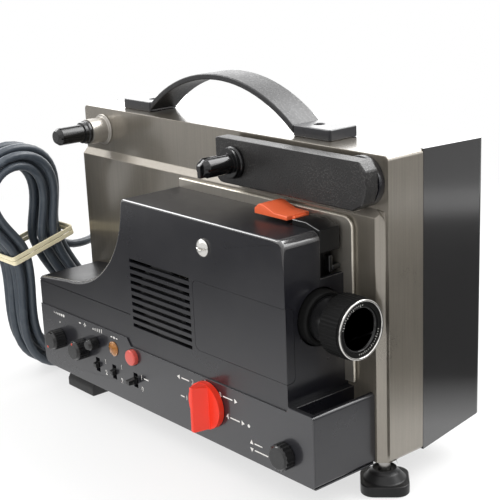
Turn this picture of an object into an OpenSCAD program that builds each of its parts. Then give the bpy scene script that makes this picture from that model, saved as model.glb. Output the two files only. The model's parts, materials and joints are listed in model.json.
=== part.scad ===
// Table-top sound movie projector with a folding supply arm and an elevating foot.
// Lengths are in millimetres. The case stands with its front to -Y and its lens to +X.

/* [Case] */
// Width of the case along the beam
case_w = 300; // [290:1:320]
// Height of the case above its underside
case_h = 183.4; // [180:0.2:196]
// Depth of the silver front shell
shell_d = 28.8; // [26:0.2:34]
// Depth of the black rear cover
cover_d = 53.5; // [50:0.5:62]
// Wall of the shell and of the cover
wall = 2.4; // [2:0.1:2.8]
// Corner radius of the case outline
case_r = 3; // [1.5:0.5:4]
// Rise of the cover's underside towards its back
cover_rise = 8; // [4:0.5:10]
// Fall of the cover's top towards its back
cover_fall = 1.5; // [0.5:0.5:3]
// How far the raised panel stands out of the shell
panel_d = 4.1; // [3.5:0.1:5]
// Gap between the raised panel's flat face and the case's right end
panel_set = 6.6; // [5.5:0.1:8]
// Height of the raised panel's flat face
panel_h = 148.6; // [148:0.2:150]
// Thickness of the chassis plate
chassis_t = 2; // [1.5:0.1:2.5]

/* [Deck plate] */
// Thickness of the deck plate
deck_t = 2.5; // [2:0.1:3]
// Height of the deck plate above the housing's top
deck_rise = 6; // [4:0.5:7]
// Reach of the deck plate past the housing's end
deck_out = 7.4; // [6:0.2:10]

/* [Front housing] */
// Depth of the housing in front of the deck plate
house_d = 45.9; // [44.5:0.1:50]
// Height of the housing's top
house_h = 141; // [138:0.2:142]
// Gap between the housing's end and the case's right end
house_set = 29.4; // [27:0.2:33]
// Wall of the front housing
house_wall = 2.5; // [2:0.1:3]
// Gap between the base's left end and the case's left end
base_in = 5.2; // [3:0.2:8]
// Gap between the base's right end and the case's right end
base_set = 8.2; // [7:0.2:10]
// Height of the base at its film trough
base_h = 44; // [42:0.5:46]
// Height of the floor of the film trough
trough_z = 34; // [32:0.5:36]
// Height of the low shelf where the swoop starts
shelf_h = 71; // [69:0.5:73]
// Length of the low shelf
shelf_w = 37.8; // [34:0.2:40]
// Radius of the swoop that clears the take-up reel
swoop_r = 72; // [71:0.5:75]
// How far the control panel stands out of the housing
fascia_t = 1; // [0.6:0.1:1.5]
// Height of the control panel under the bare strip
fascia_h = 46; // [44.5:0.5:48]
// Height of the control panel's right part
fascia_low = 41; // [40:0.5:42.5]
// Thickness of the bottom plate
bottom_t = 1.2; // [1:0.1:2]

/* [Grille and lamp door] */
// Number of louvre slots
slot_n = 10; // [8:1:11]
// Pitch of the louvre slots
slot_pitch = 4.9; // [4.5:0.1:5.2]
// Height of one louvre slot
slot_h = 2.4; // [2:0.1:3]
// Length of the louvre slots
slot_w = 62.5; // [58:0.5:64]
// Height of the lowest slot's middle
slot_z = 57; // [55:0.5:58]
// Length of the lamp door along the front
door_w = 83.4; // [82:0.2:85]
// Height of the lamp door's lower edge
door_z = 57; // [55:0.5:58]
// Height of the lamp door
door_h = 45; // [43:0.5:47]
// How far the lamp door wraps round the end
door_wrap = 6.4; // [5:0.2:7]
// Diameter of the housing screw's head
screw_d = 11; // [9:0.5:12]

/* [Lens] */
// Distance of the beam from the deck plate
beam_out = 19.4; // [19.2:0.1:20]
// Height of the beam
beam_z = 91.3; // [90.5:0.1:92]
// Diameter of the focus ring
ring_d = 36; // [34:0.5:38]
// Length of the focus ring
ring_w = 15; // [12:0.5:16]
// Diameter of the lens barrel
barrel_d = 27; // [26:0.2:28]
// Reach of the focus ring's front past the housing's end
lens_out = 32.4; // [31:0.2:36]

/* [Spindles and arm] */
// Diameter of the reel spindles
spindle_d = 12.5; // [12:0.1:12.6]
// Length of spindle that a reel sits on
spindle_w = 18; // [16:0.5:20]
// Distance of the take-up spindle from the case's left end
take_up_x = 23; // [20:0.5:26]
// Distance of the arm's pivot from the case's right end
pivot_in = 17; // [16.5:0.1:18]
// Distance from the arm's pivot to its spindle
arm_l = 96; // [92:0.5:98]
// Height of the supply arm
arm_h = 28.4; // [27:0.2:28.8]
// Thickness of the supply arm
arm_t = 10.4; // [9.4:0.2:11]

/* [Handle] */
// Length over the handle's end blocks
handle_l = 209; // [200:1:220]
// Width of the handle
handle_d = 23; // [20:0.5:26]
// Length of one end block
block_l = 32; // [28:0.5:36]
// Height of the end blocks
block_h = 6.8; // [6:0.1:8]
// Rise of the strap's arch above the end blocks
strap_rise = 25.4; // [22:0.2:30]
// Thickness of the strap
strap_t = 3.8; // [3:0.1:4.4]

/* [Feet] */
// Height of the case above the floor
floor_gap = 18; // [17.5:0.1:20]
// Side of the elevating foot's knob
foot_side = 29; // [26:0.5:30]
// Height of the elevating foot's rim
foot_rim = 6.5; // [5.5:0.1:7]
// Diameter of the threaded stud
stud_d = 7; // [6:0.1:7.4]

/* [Cord] */
// Diameter of the mains cord
cord_d = 6.4; // [6:0.1:6.6]
// Layers of loops in the hank
layers = 4; // [2:2:4]

/* [Hidden] */
$fn = 48;

// Clearances
run_fit = 0.05;
gap = 0.3;
hole_gap = 0.6;

// Planes along Y, from the shell's upper face at zero
y_panel = -panel_d;
y_deck = y_panel - deck_t;
y_house = y_deck - house_d;
y_fascia = y_house - fascia_t;
y_inside = y_house + house_wall;
y_back = shell_d + cover_d;

// Places along X
house_end = case_w - house_set;
base_l = base_in;
base_r = case_w - base_set;
deck_l = base_l + shelf_w + swoop_r + house_wall + gap;
deck_r = house_end + deck_out;
deck_h = house_h + deck_rise;
deck_z = 8;
swoop_x = base_l + shelf_w;
swoop_z = shelf_h + swoop_r;
swoop_a = -asin(max(swoop_z - house_h + 4.3, 1) / swoop_r);
shelf_fall = 4;
end_r = 5;
low_r = 6;
lip_r = 2;

// Beam, gate and lens
beam_y = y_deck - beam_out;
gate_l = house_end - 25.6;
gate_w = 27.4;
gate_z = 113.5;
gate_front = y_deck - gate_w;
notch_front = y_deck - 17.8;
gate_low = 66;
gate_top = house_h - 8;
aperture_x = house_end - 8.6;
holder_r = 16.5;
opening_r = holder_r + 1;
barrel_r = barrel_d / 2;
ring_front = house_end + lens_out;
ring_back = ring_front - ring_w;
rim_t = 1;

// Shutter, belt and motor
shutter_y = beam_y - 2;
shutter_z = beam_z - 13.3;
shutter_r = 19;
shutter_x = gate_l - 12.5;
pulley_x = gate_l - 19.5;
pulley_w = 5;
pulley_r = 8;
axle_r = 2.5;
belt_t = 1.4;
motor_y = shell_d + 23.2;
motor_r = 20;
motor_l = 50;
motor_x = gate_l - 9;

// Lamp and film drive
lamp_r = 17.5;
lamp_rim_x = gate_l - 23;
lamp_l = 18;
socket_l = 15;
sprocket_x = gate_l - 13;
sprocket_z = house_h - 15;
sprocket_r = 8.5;
capstan_x = house_end - 65.6;
capstan_z = 44;
capstan_r = 3;
flywheel_r = 22;

// Threading lever
lever_x = gate_l + 13;
lever_z = house_h - 2.4;
lever_pin_r = 1.5;
lever_reach = 41;
lid_l = gate_l + 2.8;
lid_r = house_end - 0.4;
lid_back = y_deck - 2;
lid_ear = 2.4;

// Lamp door and screws
door_l = house_end - door_w;
door_r = 4;
housing_screw_x = door_l + 13;
housing_screw_z = house_h - 16.6;

// Controls on the panel, measured from the base's left end or the housing's end
knob_z = 25;
volume_x = base_l + 24.8;
tone_x = base_l + 54.8;
trim_x = base_l + 70.8;
trim_z = 33;
lamp_x = base_l + 91.8;
upper_z = 34;
button_x = base_l + 114.4;
switch_x = [base_l + 70.8, base_l + 90.8, base_l + 115.8];
switch_z = [17, 17, 18];
selector_x = house_end - 71.6;
selector_z = 24.5;
frame_x = house_end - 2;
frame_z = 14;
knob_r = 7.2;
trim_r = 4.3;
selector_r = 15;
frame_r = 8.2;
shaft_r = 3;
pot_r = 7;
pot_back = y_inside + 14;
button_r = 5.4;
button_travel = 2.5;
stem_r = 2;
lamp_cap_r = 5.1;
switch_w = 4;
switch_h = 10;
switch_travel = 2.5;

// Speaker behind the grille
grille_r = door_l - 3.2;
grille_l = grille_r - slot_w;
speaker_x = (grille_l + grille_r) / 2;
speaker_z = slot_z + slot_pitch * (slot_n - 1) / 2;
speaker_r = 24;

// Amplifier board and transformer
board_x = base_l + 14;
board_w = 150;
board_h = 36;
board_t = 1.6;
core_x = 35;
core_z = 20;
core_w = 60;
core_d = 22;
core_h = 50;
coil_in = 9;

// Supply arm
pivot_x = case_w - pivot_in;
arm_back = y_panel - 0.5;
arm_front = arm_back - arm_t;
arm_tail = 14;
arm_head = 18;
hub_r = 14.5;
pin_r = 4;
supply_x = pivot_x - arm_l;
lever_top = house_h + 9;
arm_low = max(panel_h + panel_d, lever_top + 2) + 0.8;
arm_top = arm_low + arm_h;
spindle_z = arm_low + arm_h / 2 + 0.3;

// Handle on the case's top
handle_x = case_w / 2 - 9.5;
handle_y = 10;
block_in = handle_l / 2 - block_l;
strap_half = block_in;
strap_r = (strap_half * strap_half + strap_rise * strap_rise) / (2 * strap_rise);
strap_end_z = case_h + block_h - 0.6;
strap_top = strap_end_z + strap_rise;
handle_screw_r = 3.4;
handle_screw_in = 11;

// Feet
foot_x = case_w - 7.5;
foot_y = 3;
bush_r = 4.6;
bush_h = 12;
boss_r = 7;
stud_r = stud_d / 2;
foot_round = 8;
foot_boss_z = -6;
foot_x0 = base_l + 12;
foot_len = 33;
foot_deep = 20;

// Model frame: the middle of the standing object's box, on the floor
foot_reach = foot_side / 2 * sqrt(2) - foot_round * (sqrt(2) - 1);
bar_out = 9.5;
disc_out = 4;
box_right = max(foot_x + foot_reach, ring_front + rim_t);
box_front = y_fascia - gap - disc_out - bar_out;
frame_shift = [-box_right / 2, -(box_front + y_back) / 2, floor_gap];

// Mains cord
cord_r = cord_d / 2;
gland_y = 69.5;
gland_z = 72.5;
gland_l = 20;
loops = 2;
hank_x = -38;
hank_y = -39.8;
hank_z = 82;
hank_tilt = 15.5;
hank_layer = cord_d + 1;
hank_step = cord_d + 0.8;
waist_step = cord_d + 2.25;
waist_half = 6.9;
lobe_half = 38;
lobe_step = 9.4;
upper_flat = 0.36;
lower_flat = 0.21;
upper_half = 62;
lower_half = 84.5;
hank_from = 19.5;
hank_to = 265.5;
hank_rings = 24;
band_w = 6;
band_t = 1.2;
plug_x = -20;
plug_y = 60;
plug_r = 12;

// Colours
silver = [0.42, 0.40, 0.36];
black = [0.12, 0.12, 0.13];
satin = [0.17, 0.17, 0.18];
nickel = [0.75, 0.73, 0.70];
steel = [0.55, 0.55, 0.56];
brass = [0.70, 0.62, 0.40];
red = [0.90, 0.22, 0.12];

// Points along a circular arc, from angle a0 to a1
function arc(cx, cy, r, a0, a1, n = 6) =
    [for (k = [0:n]) let (a = a0 + (a1 - a0) * k / n) [cx + r * cos(a), cy + r * sin(a)]];

// Rectangle with four rounded corners
function rounded(x0, y0, x1, y1, r) = concat(
    arc(x1 - r, y0 + r, r, -90, 0), arc(x1 - r, y1 - r, r, 0, 90),
    arc(x0 + r, y1 - r, r, 90, 180), arc(x0 + r, y0 + r, r, 180, 270));

// Circle with n rounded flutes of the given depth
function fluted(r, depth, n) =
    [for (k = [0:6 * n - 1])
        let (a = k * 60 / n)
        (r - depth / 2 + depth / 2 * cos(a * n)) * [cos(a), sin(a)]];

// Extrusion of an XZ outline from y0 to y1
module along_y(y0, y1) {
    translate([0, y1, 0]) rotate([90, 0, 0]) linear_extrude(y1 - y0) children();
}

// Extrusion of a YZ outline from x0 to x1
module along_x(x0, x1) {
    translate([x0, 0, 0]) rotate([90, 0, 90]) linear_extrude(x1 - x0) children();
}

// Cylinder along Y between two planes
module rod_y(x, z, y0, y1, r) {
    translate([x, y0, z]) rotate([-90, 0, 0]) cylinder(h = y1 - y0, r = r);
}

// Cylinder along X between two planes
module rod_x(y, z, x0, x1, r) {
    translate([x0, y, z]) rotate([0, 90, 0]) cylinder(h = x1 - x0, r = r);
}

// Box between two corners
module box(low, high) {
    translate(low) cube(high - low);
}

// Turned profile of [radius, reach] points about an axis that runs out to -Y
module turned_out(x, z, y) {
    translate([x, y, z]) rotate([90, 0, 0]) rotate_extrude() children();
}

// Turned profile of [radius, reach] points about the beam, reaching to +X
module turned_beam(x) {
    translate([x, beam_y, beam_z]) rotate([0, 90, 0]) rotate_extrude() children();
}

// Moves the case's own frame to the model frame
module placed() {
    translate(frame_shift) children();
}

// Slot for the drive belt through plates between two planes
module belt_slot(y0, y1) {
    reach = pulley_r + belt_t + gap + 2;
    box([pulley_x - 2, y0, shutter_z - reach], [pulley_x + pulley_w + 2, y1, shutter_z + reach]);
}

// Raised lower panel with a bevel along its top and its right end
module raised_panel() {
    flat_x = case_w - panel_set;
    intersection() {
        along_y(y_panel, wall) polygon(concat(
            [[0, 0], [flat_x + panel_d, 0]],
            arc(flat_x + panel_d - 8, panel_h + panel_d - 8, 8, 0, 90), [[0, panel_h + panel_d]]));
        along_x(-1, case_w) polygon(
            [[y_panel, -1], [wall, -1], [wall, panel_h + panel_d + wall], [y_panel, panel_h]]);
        linear_extrude(case_h) polygon(
            [[-1, y_panel], [flat_x, y_panel], [flat_x + panel_d + wall, wall], [-1, wall]]);
    }
}

module front_shell() {
    color(silver) placed() difference() {
        union() {
            difference() {
                union() {
                    along_y(0, shell_d) polygon(rounded(0, 0, case_w, case_h, case_r));
                    raised_panel();
                }
                box([wall, wall, wall], [case_w - wall, shell_d + 1, case_h - wall]);
                box([wall, y_panel + wall, wall],
                    [case_w - panel_set - 2 * wall, wall + 1, panel_h - 2 * wall]);
            }
            intersection() {
                translate([foot_x, foot_y, 0]) cylinder(h = bush_h + wall, r = boss_r);
                box([0, 0, 0], [case_w - wall / 2, shell_d, case_h]);
            }
        }
        translate([foot_x, foot_y, -1]) cylinder(h = bush_h + 1, r = bush_r);
        rod_y(take_up_x, spindle_z, -1, wall + 1, pin_r + run_fit);
        rod_y(capstan_x, capstan_z, y_panel - 1, wall + 1, capstan_r + hole_gap);
        belt_slot(y_panel - 1, wall + 1);
    }
}

// Outline of the rear cover seen from the end, inset by a wall
function cover_side(i) = [
    [shell_d - (i > 0 ? 1 : 0), i], [y_back - i, cover_rise + i],
    [y_back - i, case_h - cover_fall - i], [shell_d - (i > 0 ? 1 : 0), case_h - i]];

cover_screw_at = [for (x = [20, case_w - 20], z = [24, case_h - 18]) [x, z]];
vent_n = 8;
vent_pitch = 7;

module rear_cover() {
    color(black) placed() difference() {
        union() {
            difference() {
                intersection() {
                    along_x(0, case_w) polygon(cover_side(0));
                    linear_extrude(case_h) polygon(concat(
                        [[0, shell_d], [case_w, shell_d]],
                        arc(case_w - 4, y_back - 4, 4, 0, 90), arc(4, y_back - 4, 4, 90, 180)));
                }
                along_x(wall, case_w - wall) polygon(cover_side(wall));
            }
            for (p = cover_screw_at) rod_y(p[0], p[1], shell_d, y_back - wall / 2, 5);
        }
        for (p = cover_screw_at) {
            rod_y(p[0], p[1], shell_d - 1, y_back + 1, 1.8);
            rod_y(p[0], p[1], y_back - 2.2, y_back + 1, 4);
        }
        for (k = [0:vent_n - 1])
            box([house_end - 80, y_back - wall - 1, 95 + k * vent_pitch],
                [house_end, y_back + 1, 98 + k * vent_pitch]);
        rod_x(gland_y, gland_z, -1, wall + 1, 5);
    }
}

module cover_screws() {
    color(steel) placed() for (p = cover_screw_at) difference() {
        union() {
            rod_y(p[0], p[1], shell_d - chassis_t, y_back - 2.2, 1.7);
            rod_y(p[0], p[1], y_back - 2.2, y_back - 0.4, 3.6);
        }
        box([p[0] - 2.6, y_back - 1.4, p[1] - 0.4], [p[0] + 2.6, y_back, p[1] + 0.4]);
    }
}

module chassis_plate() {
    color(steel) placed() difference() {
        along_y(shell_d - chassis_t, shell_d)
            polygon(rounded(wall, wall, case_w - wall, case_h - wall, 1));
        for (p = cover_screw_at) rod_y(p[0], p[1], 0, shell_d + 1, 1.75);
        rod_y(capstan_x, capstan_z, 0, shell_d + 1, capstan_r + run_fit);
        belt_slot(shell_d - chassis_t - 1, shell_d + 1);
    }
}

// Lower and right edges of the deck plate, grown by a gap
function deck_edge(grow) = [
    [deck_l - grow, deck_z - grow], [house_end + 3 + grow, deck_z - grow],
    [house_end + 3 + grow, trough_z - 4 + grow], [house_end - 1 + grow, trough_z - 4 + grow],
    [house_end - 1 + grow, base_h + 3 - grow], [deck_r + grow, base_h + 3 - grow]];

module deck_plate() {
    color(nickel) placed() difference() {
        along_y(y_deck, y_panel) polygon(concat(
            deck_edge(0), arc(deck_r - 7, deck_h - 7, 7, 0, 90), [[deck_l, deck_h]]));
        rod_y(capstan_x, capstan_z, y_deck - 1, y_panel + 1, capstan_r + run_fit);
        rod_y(sprocket_x, sprocket_z, y_deck - 1, y_panel + 1, capstan_r + run_fit);
        rod_y(frame_x, frame_z, y_deck - 1, y_panel + 1, axle_r + run_fit);
        rod_y(housing_screw_x, housing_screw_z, y_deck - 1, y_panel + 1, 2.5);
        belt_slot(y_deck - 1, y_panel + 1);
    }
}

// Outer outline of the front housing seen from the front
function house_outline() = concat(
    arc(base_l + low_r, low_r, low_r, 180, 270),
    arc(base_r - lip_r, lip_r, lip_r, -90, 0),
    arc(base_r - lip_r, base_h - lip_r, lip_r, 0, 90, 4),
    [[house_end, base_h]],
    arc(house_end - end_r, house_h - end_r, end_r, 0, 90),
    arc(swoop_x + swoop_r * cos(swoop_a) + 3.7, house_h - 3, 3, 90, 170, 4),
    arc(swoop_x, swoop_z, swoop_r, swoop_a, -90, 20),
    arc(base_l + 3, shelf_h - shelf_fall - 3, 3, 95, 180, 3));

// Hollow of the front housing seen from the front, open below
function house_hollow() = concat(
    [[base_l + house_wall, -1], [base_r - house_wall, -1], [base_r - house_wall, trough_z - house_wall],
     [house_end - house_wall, trough_z - house_wall], [house_end - house_wall, house_h - house_wall],
     [swoop_x + swoop_r * cos(swoop_a) + house_wall + 0.8, house_h - house_wall]],
    arc(swoop_x, swoop_z, swoop_r + house_wall, swoop_a - 2, -90, 18),
    [[base_l + house_wall, shelf_h - shelf_fall - house_wall]]);

// Opening of the lamp door, grown by a gap
module door_space(grow) {
    along_y(y_house - 1, y_inside + 1) polygon(concat(
        [[house_end + 1, door_z - grow], [house_end + 1, door_z + door_h + grow]],
        arc(door_l - grow + door_r, door_z + door_h + grow - door_r, door_r, 90, 180, 4),
        arc(door_l - grow + door_r, door_z - grow + door_r, door_r, 180, 270, 4)));
    along_x(house_end - house_wall - 1, house_end + 1) polygon(concat(
        [[y_house - 1, door_z + door_h + grow], [y_house - 1, door_z - grow]],
        arc(y_house + door_wrap + grow - 3, door_z - grow + 3, 3, -90, 0, 4),
        arc(y_house + door_wrap + grow - 3, door_z + door_h + grow - 3, 3, 0, 90, 4)));
}

// Shaft and switch holes of the controls through a wall
module control_holes(y0, y1) {
    for (p = [[volume_x, knob_z], [tone_x, knob_z], [trim_x, trim_z], [selector_x, selector_z]])
        rod_y(p[0], p[1], y0, y1, shaft_r + hole_gap);
    rod_y(frame_x, frame_z, y0, y1, axle_r + hole_gap);
    rod_y(lamp_x, upper_z, y0, y1, lamp_cap_r + run_fit);
    rod_y(button_x, upper_z, y0, y1, button_r + gap);
    for (k = [0:2])
        box([switch_x[k] - switch_w / 2 - gap, y0, switch_z[k] - switch_h / 2],
            [switch_x[k] + switch_w / 2 + gap, y1, switch_z[k] + switch_h / 2]);
}

module front_housing() {
    trough_l = house_end + 4.6;
    trough_r = base_r - 3;
    color(satin) placed() difference() {
        along_y(y_house, y_panel) polygon(house_outline());
        along_y(y_inside, y_panel + 1) polygon(house_hollow());
        along_y(y_deck, y_panel + 1) polygon(concat(
            deck_edge(gap), [[deck_r + gap, house_h + 1], [deck_l - gap, house_h + 1]]));
        box([trough_l, y_inside, trough_z], [trough_r, y_panel + 1, base_h + 1]);
        box([gate_l, notch_front - gap, gate_z], [house_end + 1, y_panel + 1, house_h + 1]);
        rod_x(beam_y, beam_z, house_end - house_wall - 1, house_end + 1, opening_r);
        door_space(0);
        for (k = [0:slot_n - 1])
            box([grille_l, y_house - 1, slot_z + k * slot_pitch - slot_h / 2],
                [grille_r, y_inside + 1, slot_z + k * slot_pitch + slot_h / 2]);
        box([base_l - 1, y_house - 1, fascia_h + 17], [grille_l - 3, y_house + 0.5, fascia_h + 17.8]);
        control_holes(y_house - 1, y_inside + 1);
        rod_y(housing_screw_x, housing_screw_z, y_house - 1, y_inside + 1, 2.6);
    }
}

module control_panel() {
    step_x = grille_l - 8;
    color(satin) placed() difference() {
        along_y(y_fascia, y_house) polygon(concat(
            arc(base_l + low_r, low_r, low_r, 180, 270), arc(base_r - lip_r, lip_r, lip_r, -90, 0),
            arc(base_r - lip_r, base_h - lip_r, lip_r, 0, 90, 4),
            [[house_end + 1, base_h], [house_end - 0.6, fascia_low], [step_x + 4, fascia_low],
             [step_x, fascia_h], [base_l, fascia_h]]));
        control_holes(y_fascia - 1, y_house + 1);
    }
}

module bottom_plate() {
    color(black) placed() translate([0, 0, -bottom_t]) linear_extrude(bottom_t)
        polygon(rounded(base_l + low_r, y_house + 0.3, base_r - 0.5, y_panel - gap, 1));
}

module lamp_door() {
    shrink = -gap / 2;
    color(satin) placed() difference() {
        intersection() {
            door_space(shrink);
            box([0, y_house, 0], [house_end, y_deck, house_h]);
        }
        box([0, y_inside, 0], [house_end - house_wall, y_deck, house_h]);
    }
}

module housing_screw() {
    color(nickel) placed() difference() {
        union() {
            rod_y(housing_screw_x, housing_screw_z, y_house, y_panel, 2.4);
            intersection() {
                rod_y(housing_screw_x, housing_screw_z, y_house - 4, y_house, screw_d / 2);
                translate([housing_screw_x, y_house + 3.2, housing_screw_z]) sphere(r = 7);
            }
        }
        box([housing_screw_x - screw_d, y_house - 5, housing_screw_z - 0.5],
            [housing_screw_x + screw_d, y_house - 1.8, housing_screw_z + 0.5]);
    }
}

module handle_strap() {
    centre_z = strap_top - strap_r;
    half_angle = asin(strap_half / strap_r);
    inner_r = strap_r - strap_t;
    inner_angle = asin(strap_half / inner_r);
    color(black) placed() along_y(handle_y, handle_y + handle_d) polygon(concat(
        arc(handle_x, centre_z, strap_r, 90 - half_angle, 90 + half_angle, 24),
        arc(handle_x, centre_z, inner_r, 90 + inner_angle, 90 - inner_angle, 24)));
}

// End block of the handle, from its inner end outwards along one side
module handle_block(side) {
    inner = handle_x + side * block_in;
    outer = handle_x + side * (block_in + block_l);
    screw_x = inner + side * handle_screw_in;
    difference() {
        translate([0, 0, case_h]) linear_extrude(block_h)
            polygon(rounded(min(inner, outer), handle_y, max(inner, outer), handle_y + handle_d, 1.5));
        translate([screw_x, handle_y + handle_d / 2, case_h + 2]) cylinder(h = block_h, r = handle_screw_r);
        translate([screw_x, handle_y + handle_d / 2, case_h - 1]) cylinder(h = block_h, r = 2);
    }
}

module handle_blocks() {
    color(black) placed() for (side = [-1, 1]) handle_block(side);
}

module handle_screws() {
    color(steel) placed() for (side = [-1, 1])
        translate([handle_x + side * (block_in + handle_screw_in), handle_y + handle_d / 2, case_h]) {
            cylinder(h = 2, r = 1.95);
            translate([0, 0, 2]) cylinder(h = 2, r = handle_screw_r - gap);
        }
}

// Height of the rear cover's underside at a depth
function cover_floor(y) = cover_rise * (y - shell_d) / cover_d;

module fixed_feet() {
    front = y_house + 9;
    rear = y_back - 6;
    pad = -floor_gap + 6;
    color(black) placed() {
        along_x(foot_x0, foot_x0 + foot_len) polygon(
            [[front, -floor_gap], [front + foot_deep, -floor_gap], [front + foot_deep, -bottom_t],
             [front + 7, -bottom_t], [front, pad]]);
        along_x(foot_x0, foot_x0 + foot_len) polygon(
            [[rear, -floor_gap], [rear, pad], [rear - 7, cover_floor(rear - 7)],
             [rear - foot_deep, cover_floor(rear - foot_deep)], [rear - foot_deep, -floor_gap]]);
    }
}

module foot_bush() {
    color(brass) placed() translate([foot_x, foot_y, 0]) difference() {
        cylinder(h = bush_h, r = bush_r - run_fit);
        translate([0, 0, -1]) cylinder(h = bush_h + 2, r = stud_r + run_fit);
    }
}

module foot_stud() {
    color(brass) placed() translate([foot_x, foot_y, -floor_gap + foot_rim])
        cylinder(h = floor_gap - foot_rim + bush_h - 2, r = stud_r);
}

module foot_knob() {
    boss_top = floor_gap + foot_boss_z;
    color(black) placed() translate([foot_x, foot_y, -floor_gap]) difference() {
        union() {
            rotate(45) linear_extrude(foot_rim)
                polygon(rounded(-foot_side / 2, -foot_side / 2, foot_side / 2, foot_side / 2, foot_round));
            rotate_extrude() polygon(concat(
                [[0, foot_rim - 1], [foot_side / 2 - 1.5, foot_rim - 1], [foot_side / 2 - 2.5, foot_rim + 0.6]],
                arc(stud_r + 7, boss_top + 1.6, 3.4, 250, 180, 4), [[stud_r + 3.4, boss_top], [0, boss_top]]));
        }
        translate([0, 0, foot_rim]) cylinder(h = boss_top, r = stud_r + run_fit);
    }
}

// Reach of the take-up collar and of a spindle's plain ring
collar_out = 14;
ring_out = 5;
tip_out = 3;
groove_n = 5;

module take_up_collar() {
    color(nickel) placed() difference() {
        turned_out(take_up_x, spindle_z, 0)
            polygon([[0, 0], [11, 0], [11, 1], [9, 1.8], [9, collar_out], [0, collar_out]]);
        rod_y(take_up_x, spindle_z, -collar_out - 1, 1, pin_r + run_fit);
    }
}

// Reel spindle: plain rings, grooved seat for a reel and a tapered tip
module spindle(x, y, flange_r) {
    seat = ring_out + spindle_w;
    r = spindle_d / 2;
    difference() {
        turned_out(x, spindle_z, y) polygon(
            [[0, 0], [flange_r, 0], [flange_r, 2], [flange_r - 0.8, 2.4], [flange_r - 0.8, ring_out],
             [r, ring_out], [r, seat], [r - 2, seat + tip_out], [0, seat + tip_out]]);
        for (k = [0:groove_n - 1])
            translate([x, y, spindle_z]) rotate([0, k * 360 / groove_n + 9, 0])
                box([r - 0.9, -seat - tip_out - 1, -0.6], [r + 1, -ring_out - 2.5, 0.6]);
    }
}

module take_up_spindle() {
    color(black) placed() {
        spindle(take_up_x, -collar_out - gap, 8.2);
        rod_y(take_up_x, spindle_z, -collar_out - gap - 1, shell_d - chassis_t - gap, pin_r);
    }
}

module arm_hub() {
    color(nickel) placed() {
        rod_y(pivot_x, spindle_z, arm_back + gap, 0, hub_r);
        rod_y(pivot_x, spindle_z, arm_front + 2.5, arm_back + gap + 1, pin_r);
    }
}

module supply_arm() {
    right = pivot_x + arm_tail;
    left = supply_x - arm_head;
    color(satin) placed() difference() {
        along_y(arm_front, arm_back) polygon(concat(
            [[right, arm_low + 11.5], [right, arm_top - 5], [right - 5, arm_top]],
            arc(left + 1.5, arm_top - 1.5, 1.5, 90, 180, 3),
            arc(left + 5, arm_low + 5, 5, 180, 270, 4),
            [[right - 10, arm_low], [right - 3, arm_low + 4]]));
        rod_y(pivot_x, spindle_z, arm_front + 2, arm_back + 1, pin_r + run_fit);
        rod_y(supply_x, spindle_z, arm_front - 1, arm_front + arm_t - 3, pin_r + run_fit);
    }
}

module supply_spindle() {
    color(black) placed() difference() {
        union() {
            spindle(supply_x, arm_front - gap, 10);
            rod_y(supply_x, spindle_z, arm_front - gap - 1, arm_front + arm_t - 3 - gap, pin_r);
        }
        box([supply_x - 1.6, arm_front - gap - ring_out - spindle_w - tip_out - 1, spindle_z - spindle_d],
            [supply_x + 1.6, arm_front - gap - ring_out - spindle_w + 4, spindle_z + spindle_d]);
    }
}

// Flat clip that locks a reel on the supply spindle
module reel_clip() {
    clip_y = arm_front - gap - ring_out - spindle_w + 4;
    color(black) placed() along_x(supply_x - 1.6, supply_x + 1.6) polygon(
        [[clip_y, spindle_z - 5.4], [clip_y, spindle_z + 3], [clip_y - 4, spindle_z + 5.4],
         [clip_y - 8.6, spindle_z + 2], [clip_y - 8.6, spindle_z - 5.4]]);
}

module lens_holder() {
    color(black) placed() difference() {
        turned_beam(aperture_x)
            polygon([[0, 0], [holder_r, 0], [holder_r, 12], [holder_r - 1, 14], [0, 14]]);
        rod_x(beam_y, beam_z, aperture_x - 1, aperture_x + 20, barrel_r + run_fit);
    }
}

module lens_barrel() {
    back = aperture_x + 4;
    reach = ring_front - back;
    bore = 10;
    color(black) placed() turned_beam(back) polygon(
        [[bore, 0], [barrel_r, 0], [barrel_r, reach - ring_w - gap], [barrel_r, reach - 0.5],
         [barrel_r - 1, reach - 0.5], [bore, reach - 6]]);
}

module focus_ring() {
    color(black) placed() difference() {
        union() {
            translate([ring_back, beam_y, beam_z]) rotate([0, 90, 0]) linear_extrude(ring_w - 1.6)
                polygon(fluted(ring_d / 2, 0.3, 48));
            rod_x(beam_y, beam_z, ring_front - 2, ring_front, ring_d / 2 - 0.6);
        }
        rod_x(beam_y, beam_z, ring_back - 1, ring_front + 1, barrel_r + run_fit);
    }
}

module lens_rim() {
    color(nickel) placed() turned_beam(ring_front) polygon(
        [[ring_d / 2 - 2.2, 0], [ring_d / 2 - 0.6, 0], [ring_d / 2 - 0.6, rim_t - 0.4],
         [ring_d / 2 - 1, rim_t], [ring_d / 2 - 1.8, rim_t]]);
}

module lens_glass() {
    bore = 10 - 0.03;
    sag = 1.2;
    dome = (bore * bore + sag * sag) / (2 * sag);
    reach = 3.4;
    color([0.5, 0.6, 0.7]) placed() turned_beam(ring_front - 6.5 - reach) polygon(concat(
        [[0, 0], [bore, 0]],
        [for (k = [0:5]) let (r = bore * (1 - k / 5)) [r, reach - dome + sqrt(dome * dome - r * r)]]));
}

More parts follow.
